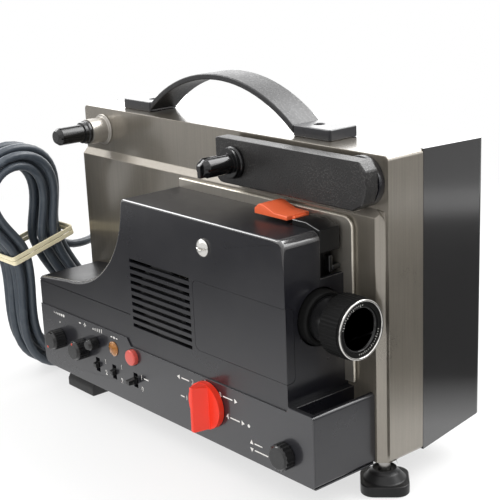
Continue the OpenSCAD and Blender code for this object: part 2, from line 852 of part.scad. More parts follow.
module gate_block() {
    left = gate_l + 1;
    upper_end = house_end - 4;
    bend_x = lever_x + 1;
    color(black) placed() difference() {
        union() {
            box([left, gate_front, gate_low], [aperture_x, y_deck, gate_z - 4]);
            box([left, gate_front, gate_z - 5], [upper_end - 3, y_deck - 9, gate_top]);
            box([left, y_deck - 9.5, gate_z - 5], [upper_end - 7, y_deck, gate_top - 2]);
            for (y = [notch_front, lid_back - lid_ear])
                along_y(y, y + lid_ear) polygon(
                    [[lid_l, gate_top - 5], [lid_r, gate_top - 5], [lid_r, house_h + 0.4],
                     [bend_x, house_h + 3.4], [lid_l, house_h + 3.4]]);
            along_y(notch_front, lid_back) polygon(
                [[lid_l, house_h + 1.2], [bend_x, house_h + 1.2], [lid_r - 2.4, house_h - 2],
                 [lid_r - 2.4, gate_top - 5], [lid_r, gate_top - 5], [lid_r, house_h + 0.4],
                 [bend_x, house_h + 3.4], [lid_l, house_h + 3.4]]);
            rod_y(lever_x, lever_z, notch_front + 1, lid_back - 1, lever_pin_r);
        }
        box([aperture_x - 9, beam_y - 4.2, gate_low - 1], [aperture_x - 7, beam_y + 4.2, gate_top + 1]);
        rod_x(beam_y, beam_z, left - 1, aperture_x + 1, 3);
        rod_x(shutter_y, shutter_z, left - 1, left + 6.5, axle_r + run_fit);
    }
}

// Threading lever: a low paddle with a thumb ridge, and an arm under the gate's lid
module threading_lever() {
    arm_y0 = notch_front + lid_ear + gap;
    arm_y1 = lid_back - lid_ear - gap;
    tab_l = lever_x - lever_reach;
    link_l = gate_l + 0.4;
    tab_z = house_h + 2.2;
    color(red) placed() difference() {
        union() {
            along_y(notch_front - 1.8, lid_back + 0.2) polygon(
                [[tab_l, tab_z], [link_l, tab_z], [link_l, tab_z + 2.4], [tab_l + 17, tab_z + 2.8],
                 [tab_l + 8, tab_z + 6.2], [tab_l + 4, tab_z + 6.4], [tab_l, tab_z + 3.4]]);
            along_y(arm_y0, arm_y1) polygon(concat(
                [[link_l, lever_z - 2.4], [lever_x, lever_z - 2.9]],
                arc(lever_x, lever_z, 2.9, -60, 90, 5),
                [[link_l + 2, lever_z + 2.9], [link_l + 2, tab_z + 1.8], [link_l - 8, tab_z + 1.8],
                 [link_l - 8, tab_z + 0.6], [link_l, tab_z + 0.6]]));
        }
        rod_y(lever_x, lever_z, arm_y0 - 1, arm_y1 + 1, lever_pin_r + run_fit);
    }
}

// Turning knob with a fluted skirt, a plain cap and a shaft into its pot
module turn_knob(x, z, r, reach) {
    translate([x, y_fascia - gap, z]) rotate([90, 0, 0]) {
        linear_extrude(reach - 2) polygon(fluted(r, 0.5, 24));
        translate([0, 0, reach - 2]) cylinder(h = 2, r1 = r - 0.8, r2 = r - 1.4);
    }
    rod_y(x, z, y_fascia - gap - 1, pot_back - 2, shaft_r);
}

module volume_knob() {
    color(black) placed() turn_knob(volume_x, knob_z, knob_r, 10);
}

module tone_knob() {
    color(black) placed() turn_knob(tone_x, knob_z, knob_r, 10);
}

module trim_knob() {
    color(black) placed() turn_knob(trim_x, trim_z, trim_r, 8);
}

module selector_knob() {
    foot_w = 11;
    edge_w = 2.6;
    y_disc = y_fascia - gap - disc_out;
    color(red) placed() {
        rod_y(selector_x, selector_z, y_disc, y_fascia - gap, selector_r);
        intersection() {
            rod_y(selector_x, selector_z, box_front, y_disc + 1, selector_r - 0.4);
            translate([selector_x, 0, selector_z - selector_r]) linear_extrude(2 * selector_r) polygon(
                [[foot_w / 2, y_disc + 1], [edge_w / 2, box_front], [-edge_w / 2, box_front],
                 [-foot_w / 2, y_disc + 1]]);
        }
        rod_y(selector_x, selector_z, y_fascia - gap - 1, pot_back - 4, shaft_r);
    }
}

module frame_knob() {
    color(black) placed() {
        translate([frame_x, y_fascia - gap, frame_z]) rotate([90, 0, 0]) {
            linear_extrude(6) polygon(fluted(frame_r, 0.6, 18));
            translate([0, 0, 6]) cylinder(h = 1, r1 = frame_r - 0.9, r2 = frame_r - 1.6);
        }
        rod_y(frame_x, frame_z, y_fascia - gap - 1, y_panel - gap, axle_r);
    }
}

module record_button() {
    color(red) placed() {
        turned_out(button_x, upper_z, y_house) polygon(concat(
            [[0, 0], [button_r, 0], [button_r, 3.2]], arc(button_r - 1, 3.2, 1, 0, 90, 3), [[0, 4.4]]));
        rod_y(button_x, upper_z, y_house - 1, y_inside + 6, stem_r);
    }
}

module indicator_lamp() {
    color([0.85, 0.55, 0.15]) placed() {
        turned_out(lamp_x, upper_z, y_inside) polygon(concat(
            [[0, 0], [lamp_cap_r, 0], [lamp_cap_r, house_wall + fascia_t + 0.6]],
            arc(0, house_wall + fascia_t - 8.4, sqrt(lamp_cap_r * lamp_cap_r + 81), 60.5, 90, 4)));
        rod_y(lamp_x, upper_z, y_inside - 1, y_inside + 6, 3.4);
    }
}

// Slider of a small switch, with a cap that stands out of the panel
module slider(k, cap_w, reach) {
    half = switch_h / 2 - switch_travel - gap;
    box([switch_x[k] - switch_w / 2, y_fascia + 0.4, switch_z[k] - half],
        [switch_x[k] + switch_w / 2, y_inside + gap, switch_z[k] + half]);
    along_x(switch_x[k] - cap_w / 2, switch_x[k] + cap_w / 2) polygon(
        [[y_fascia + 0.6, switch_z[k] - half], [y_fascia - reach, switch_z[k] - half + 0.8],
         [y_fascia - reach, switch_z[k] + half - 0.8], [y_fascia + 0.6, switch_z[k] + half]]);
}

module input_switch() {
    color(black) placed() slider(0, switch_w - 0.6, 3);
}

module track_switch() {
    color(black) placed() slider(1, switch_w - 0.6, 3);
}

module power_switch() {
    color(black) placed() slider(2, switch_w, 7);
}

module control_pots() {
    color(steel) placed() difference() {
        union() {
            for (p = [[volume_x, knob_z], [tone_x, knob_z], [trim_x, trim_z]])
                rod_y(p[0], p[1], y_inside, pot_back, pot_r);
            rod_y(selector_x, selector_z, y_inside, pot_back - 2, 12);
        }
        for (p = [[volume_x, knob_z], [tone_x, knob_z], [trim_x, trim_z], [selector_x, selector_z]])
            rod_y(p[0], p[1], y_inside - 1, pot_back - 1.5, shaft_r + run_fit);
    }
}

module switch_bodies() {
    color(steel) placed() {
        for (k = [0:2]) difference() {
            box([switch_x[k] - 4, y_inside, switch_z[k] - 6.2],
                [switch_x[k] + 4, y_inside + 9, switch_z[k] + 6.2]);
            box([switch_x[k] - switch_w / 2 - gap, y_inside - 1, switch_z[k] - switch_h / 2],
                [switch_x[k] + switch_w / 2 + gap, y_inside + gap + 0.3, switch_z[k] + switch_h / 2]);
        }
        difference() {
            box([button_x - 6.5, y_inside, upper_z - 6.5], [button_x + 6.5, y_inside + 12, upper_z + 6.5]);
            rod_y(button_x, upper_z, y_inside - 1, y_inside + button_travel + 1, button_r + gap);
            rod_y(button_x, upper_z, y_inside, y_inside + 10, stem_r + run_fit);
        }
    }
}

module speaker() {
    color(black) placed() turned_out(speaker_x, speaker_z, y_inside) polygon(
        [[0, -17], [10, -17], [10, -11], [12, -9], [speaker_r - 3, -3], [speaker_r, -3], [speaker_r, 0],
         [speaker_r - 3, 0], [9, -6], [6, -4], [0, -3.4]]);
}

module amp_board() {
    color([0.15, 0.35, 0.2]) placed() {
        box([board_x, pot_back, 0], [board_x + board_w, pot_back + board_t, board_h]);
        for (k = [0:3])
            rod_y(board_x + board_w * (0.13 + 0.23 * k), board_h * 0.55, pot_back + board_t, pot_back + 16, 6);
        box([board_x + board_w * 0.4, pot_back + board_t, board_h - 8],
            [board_x + board_w * 0.7, pot_back + 10, board_h - 2]);
    }
}

module transformer() {
    color(steel) placed() {
        box([core_x, shell_d, core_z], [core_x + core_w, shell_d + core_d, core_z + core_h]);
        along_x(core_x + coil_in, core_x + core_w - coil_in) polygon(rounded(
            shell_d + core_d / 2, core_z + 6, shell_d + core_d + 20, core_z + core_h - 6, 6));
    }
}

module motor() {
    color(steel) placed() difference() {
        union() {
            rod_x(motor_y, shutter_z, motor_x, motor_x + motor_l, motor_r);
            rod_x(motor_y, shutter_z, motor_x - 3, motor_x + 1, 7);
            box([motor_x + 8, shell_d, shutter_z - 8], [motor_x + motor_l - 8, motor_y, shutter_z + 8]);
        }
        rod_x(motor_y, shutter_z, motor_x - 4, motor_x + 12, axle_r + run_fit);
    }
}

// Pulley with two flanges on the beam-wise axle at a depth
module pulley(y) {
    rod_x(y, shutter_z, pulley_x, pulley_x + pulley_w, pulley_r);
    for (x = [pulley_x - 0.8, pulley_x + pulley_w])
        rod_x(y, shutter_z, x, x + 0.8, pulley_r + 2);
}

module motor_pulley() {
    color(brass) placed() {
        pulley(motor_y);
        rod_x(motor_y, shutter_z, pulley_x - 1, motor_x + 11, axle_r);
    }
}

// Flat belt that runs round both pulleys
module drive_belt() {
    inner = pulley_r + gap;
    outer = inner + belt_t;
    color(black) placed() difference() {
        along_x(pulley_x + 0.5, pulley_x + pulley_w - 0.5) polygon(concat(
            arc(motor_y, shutter_z, outer, -90, 90, 16), arc(shutter_y, shutter_z, outer, 90, 270, 16)));
        along_x(pulley_x - 1, pulley_x + pulley_w + 1) polygon(concat(
            arc(motor_y, shutter_z, inner, -90, 90, 16), arc(shutter_y, shutter_z, inner, 90, 270, 16)));
    }
}

// Two-bladed shutter on its axle
module shutter() {
    color(black) placed() {
        pulley(shutter_y);
        rod_x(shutter_y, shutter_z, pulley_x - 1, gate_l + 7, axle_r);
        rod_x(shutter_y, shutter_z, shutter_x - 2, shutter_x + 3, 5);
        translate([shutter_x, shutter_y, shutter_z]) rotate([90, 0, 90]) linear_extrude(1.2)
            for (turn = [0, 180]) rotate(turn)
                polygon(concat([[0, 0]], arc(0, 0, shutter_r, -50, 50, 10)));
    }
}

module lamp() {
    back = lamp_rim_x - lamp_l;
    color([0.9, 0.9, 0.85]) placed() {
        turned_beam(back) polygon(concat(
            [[0, 0], [6, 0], [6, 3]],
            [for (k = [1:6]) [6 + (lamp_r - 6) * sqrt(k / 6), 3 + (lamp_l - 3) * k / 6]],
            [[lamp_r - 1.5, lamp_l]],
            [for (k = [5:-1:1]) [4.5 + (lamp_r - 6) * sqrt(k / 6), 3 + (lamp_l - 3) * k / 6]],
            [[4.5, 4.5], [3.4, 4.5], [3.4, 10], [2, 12], [0, 12.4]]));
    }
}

module lamp_holder() {
    front = lamp_rim_x - lamp_l;
    color([0.8, 0.78, 0.7]) placed()
        box([front - socket_l, beam_y - 11, beam_z - 10], [front, y_deck, beam_z + 10]);
}

module sprocket() {
    teeth = 12;
    color([0.85, 0.85, 0.8]) placed() {
        rod_y(sprocket_x, sprocket_z, beam_y - 5, beam_y + 5, sprocket_r - 1.2);
        rod_y(sprocket_x, sprocket_z, beam_y + 3, beam_y + 5, sprocket_r);
        translate([sprocket_x, beam_y - 3, sprocket_z]) rotate([90, 0, 0]) linear_extrude(1)
            polygon(fluted(sprocket_r + 0.6, 2, teeth));
        rod_y(sprocket_x, sprocket_z, beam_y, y_panel - gap, capstan_r);
    }
}

module sound_head() {
    near = capstan_x + capstan_r + 3;
    color(steel) placed() {
        box([near + 2, y_deck - 16, capstan_z - 7], [near + 15, y_deck, capstan_z + 7]);
        rod_y(near + 4, capstan_z, y_deck - 15, y_deck - 3, 4);
    }
}

module capstan() {
    front = y_deck - 16;
    color(steel) placed() {
        rod_y(capstan_x, capstan_z, front, shell_d + 14, capstan_r);
        rod_y(capstan_x, capstan_z, shell_d + 6, shell_d + 16, flywheel_r);
    }
}

// Ring frame of a tube at point k of a path, square to the path there
function tube_ring(path, k, up, r, sides) =
    let (
        a = path[max(k - 1, 0)],
        b = path[min(k + 1, len(path) - 1)],
        t = (b - a) / norm(b - a),
        n0 = cross(up, t),
        n = n0 / norm(n0),
        m = cross(t, n)
    )
    [for (s = [0:sides - 1]) path[k] + r * (cos(360 * s / sides) * n + sin(360 * s / sides) * m)];

// Closed tube along a path, with rings of flat-sided section
module tube(path, up, r, sides) {
    rings = len(path);
    points = [for (k = [0:rings - 1]) each tube_ring(path, k, up, r, sides)];
    walls = [for (k = [0:rings - 2], s = [0:sides - 1])
        let (a = k * sides + s, b = k * sides + (s + 1) % sides)
        each [[a, a + sides, b], [b, a + sides, b + sides]]];
    caps = [for (s = [1:sides - 2]) each [
        [0, s, s + 1], [(rings - 1) * sides, (rings - 1) * sides + s + 1, (rings - 1) * sides + s]]];
    polyhedron(points = points, faces = concat(walls, caps));
}

// Point of the hank at an angle of its winding: in over one layer, out over the next
function hank_point(angle) =
    let (
        turn = angle / 360,
        sweep = turn / loops,
        k = turn < 0 ? loops - turn : loops * abs(1 - (sweep - 2 * floor(sweep / 2))),
        rises = [for (r = [1:layers - 1]) min(max((turn - r * loops) * 2 + 0.5, 0), 1)],
        layer = sum([for (u = rises) u * u * (3 - 2 * u)]),
        half = sin(angle) > 0 ? upper_half : lower_half,
        lobe = (lobe_half + lobe_step * k) * pow(sin(angle), 2),
        flat = sin(angle) > 0 ? upper_flat : lower_flat,
        y = cos(angle) * (waist_half + k * waist_step + lobe),
        z = sin(angle) * (half + k * hank_step) * (1 - flat * pow(cos(angle), 2))
    )
    [hank_x + layer * hank_layer,
     hank_y + y * cos(hank_tilt) - z * sin(hank_tilt),
     hank_z + y * sin(hank_tilt) + z * cos(hank_tilt)];

// Sum of a list of numbers
function sum(list, k = 0) = k < len(list) ? list[k] + sum(list, k + 1) : 0;

hank_end = 360 * (layers * loops - 1) + hank_to;
hank_n = ceil((hank_end - hank_from) / 360 * hank_rings);
hank_body = [for (k = [0:hank_n]) hank_point(hank_from + (hank_end - hank_from) * k / hank_n)];

// Straight ends of one diameter, in line with the winding
hank_in = (hank_body[0] - hank_body[1]) / norm(hank_body[0] - hank_body[1]);
hank_out = (hank_body[hank_n] - hank_body[hank_n - 1]) / norm(hank_body[hank_n] - hank_body[hank_n - 1]);
hank_first = hank_body[0] + cord_d * hank_in;
hank_last = hank_body[hank_n] + cord_d * hank_out;
hank_path = concat([hank_first], hank_body, [hank_last]);

// Least gap between parts of a winding that lie more than half a loop's quarter apart
function least_gap(path, skip) = min([for (i = [0:len(path) - 1], j = [i + skip:1:len(path) - 1])
    norm(path[i] - path[j])]) - cord_d;

echo("least gap of the hank to itself, mm", least_gap(hank_path, 9));

// Smooth curve through hand-chosen points, with a few steps in each span
function spline(p, steps) = [for (k = [0:len(p) - 2], s = [0:steps - 1])
    let (
        a = p[max(k - 1, 0)], b = p[k], c = p[k + 1], d = p[min(k + 2, len(p) - 1)],
        u = s / steps
    )
    0.5 * (2 * b + (c - a) * u + (2 * a - 5 * b + 4 * c - d) * u * u + (3 * b - a - 3 * c + d) * u * u * u)];

// Route of the lead from the gland to the hank, and of the tail from the hank to the plug
straight = 3;
bend = 28;
lead_from = [-gland_l, gland_y, gland_z];
lead_to = hank_first + straight * hank_in;
lead_bend = 27;
lead_over = 34;
lead_start = lead_from - [2, lead_bend, 0];
lead_side = hank_x - lead_start[0] + lead_bend;
lead_run = (lead_side - 2 * lead_bend * (1 - cos(lead_over))) / sin(lead_over);
lead_last = lead_start[1] - 2 * lead_bend * sin(lead_over) - lead_run * cos(lead_over);
lead_up = lead_to + [0, lead_bend, 0];
lead_drop = lead_up[2] - lead_bend - gland_z;
function lead_ease(t) = lead_drop * t * t * (3 - 2 * t);
lead_route = concat(
    [for (t = [0:1 / 14:0.99])
        let (a = t * (90 + lead_over))
        lead_start + [-lead_bend * sin(a), lead_bend * cos(a), lead_ease(0.75 * t)]],
    [for (t = [1:-1 / 4:-0.01])
        let (a = t * lead_over)
        [hank_x - lead_bend + lead_bend * cos(a), lead_last + lead_bend * sin(a),
         gland_z + lead_ease(1 - t / 5)]],
    [for (a = [10:10:85]) lead_up + lead_bend * [0, -sin(a), -cos(a)]],
    [lead_to]);
plug_at = [plug_x, plug_y, -floor_gap + plug_r + 0.2];
tail_from = hank_last + straight * hank_out;
tail_to = plug_at - [0, straight, 0];
floor_at = cord_d / 2 + 0.1 - floor_gap;
tail_steep = acos(1 - (tail_to[2] - floor_at) / bend / 2);
tail_rise = tail_to[1] - 2 * bend * sin(tail_steep);
tail_route = concat(
    [tail_from, tail_from + [-0.3, 8, -0.7],
     [tail_from[0] - 1, (tail_from[1] + tail_rise) / 2, floor_at]],
    [for (a = [0:tail_steep / 3:tail_steep])
        [plug_x + 2.2 - a / 20, tail_rise + bend * sin(a), floor_at + bend - bend * cos(a)]],
    [for (t = [2, 1])
        let (a = t * tail_steep / 3)
        [plug_x + t / 8, tail_to[1] - bend * sin(a), tail_to[2] - bend + bend * cos(a)]],
    [tail_to]);

function lead_path() = concat([lead_from], lead_route, [hank_first]);
function tail_path() = concat([hank_last], spline(tail_route, 2), [tail_to, plug_at]);

function gap_between(a, b) = min([for (p = a, q = b) norm(p - q)]) - cord_d;

echo("hank ends", hank_first, hank_last);
echo("lead to hank, mm", gap_between([for (k = [0:len(lead_path()) - 5]) lead_path()[k]], hank_path));
echo("tail to hank, mm", gap_between([for (k = [4:len(tail_path()) - 1]) tail_path()[k]], hank_path));
echo("lowest of hank and tail, mm", min([for (p = hank_path) p[2]]), min([for (p = tail_path()) p[2]]));

// Groove round the gland's taper
module gland_groove(x) {
    translate([x, gland_y, gland_z]) rotate([0, 90, 0]) difference() {
        cylinder(h = 1.4, r = 10);
        translate([0, 0, -1]) cylinder(h = 4, r = cord_r + 0.6);
    }
}

module cord_gland() {
    color(black) placed() difference() {
        union() {
            rod_x(gland_y, gland_z, -2, 0, 8);
            rod_x(gland_y, gland_z, 0, wall + 3, 4.9);
            translate([-gland_l, gland_y, gland_z]) rotate([0, 90, 0])
                cylinder(h = gland_l - 2, r1 = cord_r + 1, r2 = 6.4);
        }
        for (k = [0:3]) gland_groove(-gland_l + 3 + 3.6 * k);
    }
}

module cord_lead() {
    color(black) placed() tube(lead_path(), [0, 0.3, 1], cord_r, 10);
}

module cord_hank() {
    color(black) placed() tube(hank_path, [1, 0, 0], cord_r, 6);
}

module cord_tail() {
    color(black) placed() tube(tail_path(), [0, 0, 1], cord_r, 10);
}

module cord_band() {
    right = waist_half + loops * waist_step + cord_r + 5 * gap;
    left = 3 * gap - right + waist_step / 2;
    low = hank_x - cord_r - 2 * gap;
    high = hank_x + (layers - 1) * hank_layer + cord_r + 2 * gap;
    color([0.94, 0.88, 0.67]) placed() translate([0, hank_y, hank_z]) rotate([hank_tilt, 0, 0])
        translate([0, 0, -band_w / 2]) linear_extrude(band_w) difference() {
            polygon(rounded(low - band_t, left - band_t, high + band_t, right + band_t, 3));
            polygon(rounded(low, left, high, right, 2));
        }
}

module mains_plug() {
    plug_l = 34;
    color(black) placed() translate(plug_at) {
        rotate([-90, 0, 0]) rotate_extrude() polygon(
            [[0, 0], [cord_r + 1.4, 0], [plug_r - 3, 12], [plug_r, 20], [plug_r, plug_l], [0, plug_l]]);
        for (side = [-1, 1])
            translate([side * 6.5, plug_l, 0]) rotate([-90, 0, 0]) cylinder(h = 18, r = 2);
    }
}

front_shell();
rear_cover();
chassis_plate();
deck_plate();
front_housing();
control_panel();
bottom_plate();
lamp_door();
housing_screw();
handle_strap();
handle_blocks();
handle_screws();
fixed_feet();
foot_bush();
foot_stud();
foot_knob();
take_up_collar();
take_up_spindle();
arm_hub();
supply_arm();
supply_spindle();
reel_clip();
lens_holder();
lens_barrel();
focus_ring();
lens_rim();
lens_glass();
gate_block();
threading_lever();
selector_knob();
volume_knob();
tone_knob();
trim_knob();
frame_knob();
record_button();
indicator_lamp();
input_switch();
track_switch();
power_switch();
control_pots();
switch_bodies();
speaker();
amp_board();
transformer();
motor();
motor_pulley();
drive_belt();
shutter();
lamp();
lamp_holder();
sprocket();
sound_head();
capstan();
cover_screws();
cord_gland();
cord_lead();
cord_hank();
cord_tail();
cord_band();
mains_plug();
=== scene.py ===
"""Looks, light and camera of the movie projector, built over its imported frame."""

import json
import logging
import math
from collections.abc import Callable, Sequence
from dataclasses import dataclass, field
from enum import Enum

import bpy
from mathutils import Matrix, Vector

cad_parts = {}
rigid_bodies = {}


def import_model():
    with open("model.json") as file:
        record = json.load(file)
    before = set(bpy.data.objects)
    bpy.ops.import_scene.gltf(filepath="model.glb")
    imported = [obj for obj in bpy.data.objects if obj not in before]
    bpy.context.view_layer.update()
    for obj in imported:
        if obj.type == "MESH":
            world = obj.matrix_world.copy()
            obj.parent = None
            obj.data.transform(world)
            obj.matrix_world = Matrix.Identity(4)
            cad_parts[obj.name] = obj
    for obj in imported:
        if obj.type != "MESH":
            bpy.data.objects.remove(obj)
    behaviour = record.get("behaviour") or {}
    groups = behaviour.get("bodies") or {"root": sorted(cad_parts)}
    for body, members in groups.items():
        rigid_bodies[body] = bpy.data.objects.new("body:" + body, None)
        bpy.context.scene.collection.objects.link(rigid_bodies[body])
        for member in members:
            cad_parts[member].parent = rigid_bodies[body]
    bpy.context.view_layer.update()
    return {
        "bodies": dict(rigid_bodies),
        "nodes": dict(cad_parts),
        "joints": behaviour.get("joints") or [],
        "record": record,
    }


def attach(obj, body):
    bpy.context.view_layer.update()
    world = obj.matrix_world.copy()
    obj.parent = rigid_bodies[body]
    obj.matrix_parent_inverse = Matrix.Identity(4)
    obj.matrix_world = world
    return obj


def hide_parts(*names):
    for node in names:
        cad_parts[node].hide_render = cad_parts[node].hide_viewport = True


LOG = logging.getLogger("projector")
MM = 0.001
# Place of the case's lower left corner in the frame, in millimetres
FRAME_SHIFT = Vector((-154.8462, -7.5, 18.0))
# Turn that points an upright piece to the front
FRONT = (math.pi / 2, 0.0, 0.0)

Colour = tuple[float, float, float, float]
Point = tuple[float, float, float]
EdgeTest = Callable[[Vector, Vector, Vector], bool]
FaceTest = Callable[[Vector, Vector], bool]


class Ray(Enum):
    """Kind of light path that a material can tell apart."""

    CAMERA = "Is Camera Ray"
    GLOSSY = "Is Glossy Ray"
    TRANSMISSION = "Is Transmission Ray"


def at(x: float, y: float, z: float) -> Vector:
    """Place in the frame, in metres, of a point in the case's millimetres."""
    return (Vector((x, y, z)) + FRAME_SHIFT) * MM


def in_case(point: Vector) -> Vector:
    """Point of the frame in the case's own millimetres."""
    return point / MM - FRAME_SHIFT


def tone(red: int, green: int, blue: int) -> Colour:
    """Turn a screen colour into the light values that a shader takes.

    Args:
        red: red, 0 to 255.
        green: green, 0 to 255.
        blue: blue, 0 to 255.

    Returns:
        The colour as linear values with full cover.
    """
    linear = []
    for part in (red, green, blue):
        value = part / 255
        linear.append(value / 12.92 if value < 0.04045 else ((value + 0.055) / 1.055) ** 2.4)
    return (linear[0], linear[1], linear[2], 1.0)


class Wire:
    """A node's output that takes part in Python arithmetic."""

    def __init__(self, sheet: "NodeSheet", socket: bpy.types.NodeSocket) -> None:
        """Wrap a socket of a node sheet."""
        self.sheet = sheet
        self.socket = socket

    def _math(self, operation: str, first: "Wire | float", second: "Wire | float") -> "Wire":
        """Add one Math node for an operation on two values."""
        return self.sheet.node("ShaderNodeMath", {"operation": operation}, {0: first, 1: second})

    def __add__(self, other: "Wire | float") -> "Wire":
        """Sum."""
        return self._math("ADD", self, other)

    def __radd__(self, other: float) -> "Wire":
        """Sum with a number on the left."""
        return self._math("ADD", other, self)

    def __sub__(self, other: "Wire | float") -> "Wire":
        """Difference."""
        return self._math("SUBTRACT", self, other)

    def __rsub__(self, other: float) -> "Wire":
        """Difference from a number on the left."""
        return self._math("SUBTRACT", other, self)

    def __mul__(self, other: "Wire | float") -> "Wire":
        """Product."""
        return self._math("MULTIPLY", self, other)

    def highest(self, other: "Wire | float") -> "Wire":
        """Higher of two values."""
        return self._math("MAXIMUM", self, other)

    def clamp(self) -> "Wire":
        """Value held between 0 and 1."""
        return self.sheet.node("ShaderNodeClamp", {}, {0: self, 1: 0.0, 2: 1.0})

    def over(self, edge: float, soft: float) -> "Wire":
        """Mask that rises from 0 to 1 over a soft step above an edge."""
        return ((self - edge) * (1 / soft)).clamp()


Feed = Wire | float | Sequence[float]


class NodeSheet:
    """A material's or world's nodes, added and linked by one method."""

    def __init__(self, tree: bpy.types.NodeTree) -> None:
        """Start on a node tree as it is."""
        self.tree = tree

    def feed(self, socket: bpy.types.NodeSocket, value: Feed) -> None:
        """Link a wire to an input, or set the input to a value."""
        if isinstance(value, Wire):
            self.tree.links.new(value.socket, socket)
        else:
            socket.default_value = value

    def node(self, kind: str, settings: dict | None = None, sockets: dict | None = None,
             out: int | str = 0) -> Wire:
        """Add a node.

        Args:
            kind: the node's type.
            settings: its own settings, set before anything is linked.
            sockets: values or wires for its inputs, by name or number.
            out: the output that the wire leaves by.

        Returns:
            The chosen output.
        """
        made = self.tree.nodes.new(kind)
        for key, value in (settings or {}).items():
            setattr(made, key, value)
        for key, value in (sockets or {}).items():
            self.feed(made.inputs[key], value)
        return Wire(self, made.outputs[out])

    def place(self, scale: Point = (1.0, 1.0, 1.0)) -> Wire:
        """Object coordinates in metres, stretched by a scale on each axis."""
        coordinates = self.node("ShaderNodeTexCoord", out="Object")
        return self.node("ShaderNodeMapping", {}, {"Vector": coordinates, "Scale": scale})

    def noise(self, place: Wire, scale: float, detail: float = 2.0, roughness: float = 0.5) -> Wire:
        """Noise between 0 and 1 with so many features to a metre."""
        sockets = {"Vector": place, "Scale": scale, "Detail": detail, "Roughness": roughness}
        return self.node("ShaderNodeTexNoise", {}, sockets)

    def cells(self, place: Wire, scale: float) -> Wire:
        """Distance to the nearest of scattered points."""
        return self.node("ShaderNodeTexVoronoi", {}, {"Vector": place, "Scale": scale}, "Distance")

    def mix(self, factor: Feed, first: Feed, second: Feed) -> Wire:
        """Blend of two colours."""
        return self.node("ShaderNodeMix", {"data_type": "RGBA"}, {0: factor, 6: first, 7: second}, 2)

    def bump(self, height: Wire, depth: float) -> Wire:
        """Normal of a surface raised by a height, with a depth in millimetres."""
        return self.node("ShaderNodeBump", {}, {"Height": height, "Distance": depth * MM, "Strength": 1.0})

    def surface(self, sockets: dict[str, Feed]) -> None:
        """Set the inputs of the material's own shader."""
        shader = self.tree.nodes["Principled BSDF"]
        for name, value in sockets.items():
            self.feed(shader.inputs[name], value)


@dataclass(frozen=True)
class Finish:
    """A surface finish with a main colour."""

    name: str
    colour: Colour

    def material(self) -> bpy.types.Material:
        """Make the material of this finish."""
        made = bpy.data.materials.new(self.name)
        made.use_nodes = True
        self.paint(NodeSheet(made.node_tree))
        return made

    def paint(self, sheet: NodeSheet) -> None:
        """Set up the finish's nodes."""
        sheet.surface({"Base Color": self.colour})


@dataclass(frozen=True)
class MetallicPaint(Finish):
    """Stoved metallic paint with fine flakes, faint vertical streaks and hand smudges."""

    light: Colour
    metallic: float = 0.75
    roughness: float = 0.36
    coat: float = 0.25
    lacquer: float = 1.5

    def paint(self, sheet: NodeSheet) -> None:
        """Set up flakes, streaks, smudges and a thin lacquer."""
        place = sheet.place()
        flakes = sheet.noise(place, 2600, 2)
        streaks = sheet.noise(sheet.place((1.0, 1.0, 0.02)), 900, 2)
        smudges = sheet.noise(place, 16, 4, 0.6)
        shade = 0.5 + (flakes - 0.5) * 0.4 + (streaks - 0.5) * 0.5 + (smudges - 0.5) * 0.6
        rough = self.roughness + (smudges - 0.5) * 0.16 + (flakes - 0.5) * 0.06
        sheet.surface({
            "Base Color": sheet.mix(shade.clamp(), self.colour, self.light),
            "Roughness": rough,
            "Metallic": self.metallic,
            "Coat Weight": self.coat,
            "Coat Roughness": 0.14,
            "Coat IOR": self.lacquer,
            "Normal": sheet.bump(flakes, 0.006),
        })


@dataclass(frozen=True)
class MouldedPlastic(Finish):
    """Moulded plastic with a faint texture, dust, haze and fine scuffs."""

    roughness: float = 0.32
    grain: float = 1400.0
    depth: float = 0.01
    dust: float = 0.25
    dust_colour: Colour = tone(150, 146, 140)
    coat: float = 0.0
    gloss: float = 0.5
    lacquer: float = 1.5

    def paint(self, sheet: NodeSheet) -> None:
        """Set up texture, dust, haze and scuffs."""
        place = sheet.place()
        grain = sheet.noise(place, self.grain, 2)
        haze = sheet.noise(place, 24, 5, 0.62)
        specks = sheet.noise(place, 900, 1).over(0.76, 0.05)
        scuffs = sheet.noise(sheet.place((1.0, 1.0, 0.05)), 420, 2).over(0.72, 0.08)
        dirt = (specks * 0.5 + haze.over(0.5, 0.5) * 0.3 + scuffs * 0.25) * self.dust
        sheet.surface({
            "Base Color": sheet.mix(dirt.clamp(), self.colour, self.dust_colour),
            "Roughness": (self.roughness + (haze - 0.5) * 0.22 + dirt * 0.5).clamp(),
            "Specular IOR Level": self.gloss,
            "Coat Weight": self.coat,
            "Coat Roughness": 0.1,
            "Coat IOR": self.lacquer,
            "Normal": sheet.bump(grain, self.depth),
        })


@dataclass(frozen=True)
class GrainedPlastic(Finish):
    """Plastic with a moulded leather grain that is polished on its high spots."""

    roughness: float = 0.42
    grain: float = 560.0
    depth: float = 0.09
    worn: Colour = tone(74, 73, 75)

    def paint(self, sheet: NodeSheet) -> None:
        """Set up rounded grain cells with worn tops."""
        place = sheet.place()
        cells = sheet.cells(place, self.grain)
        fine = sheet.noise(place, 2400, 2)
        haze = sheet.noise(place, 30, 4, 0.6)
        tops = (1 - cells).over(0.45, 0.4)
        wear = tops * haze.over(0.42, 0.35) * 0.55
        sheet.surface({
            "Base Color": sheet.mix(wear.clamp(), self.colour, self.worn),
            "Roughness": (self.roughness + (haze - 0.5) * 0.2 - tops * 0.08).clamp(),
            "Normal": sheet.bump(tops + fine * 0.15, self.depth),
        })


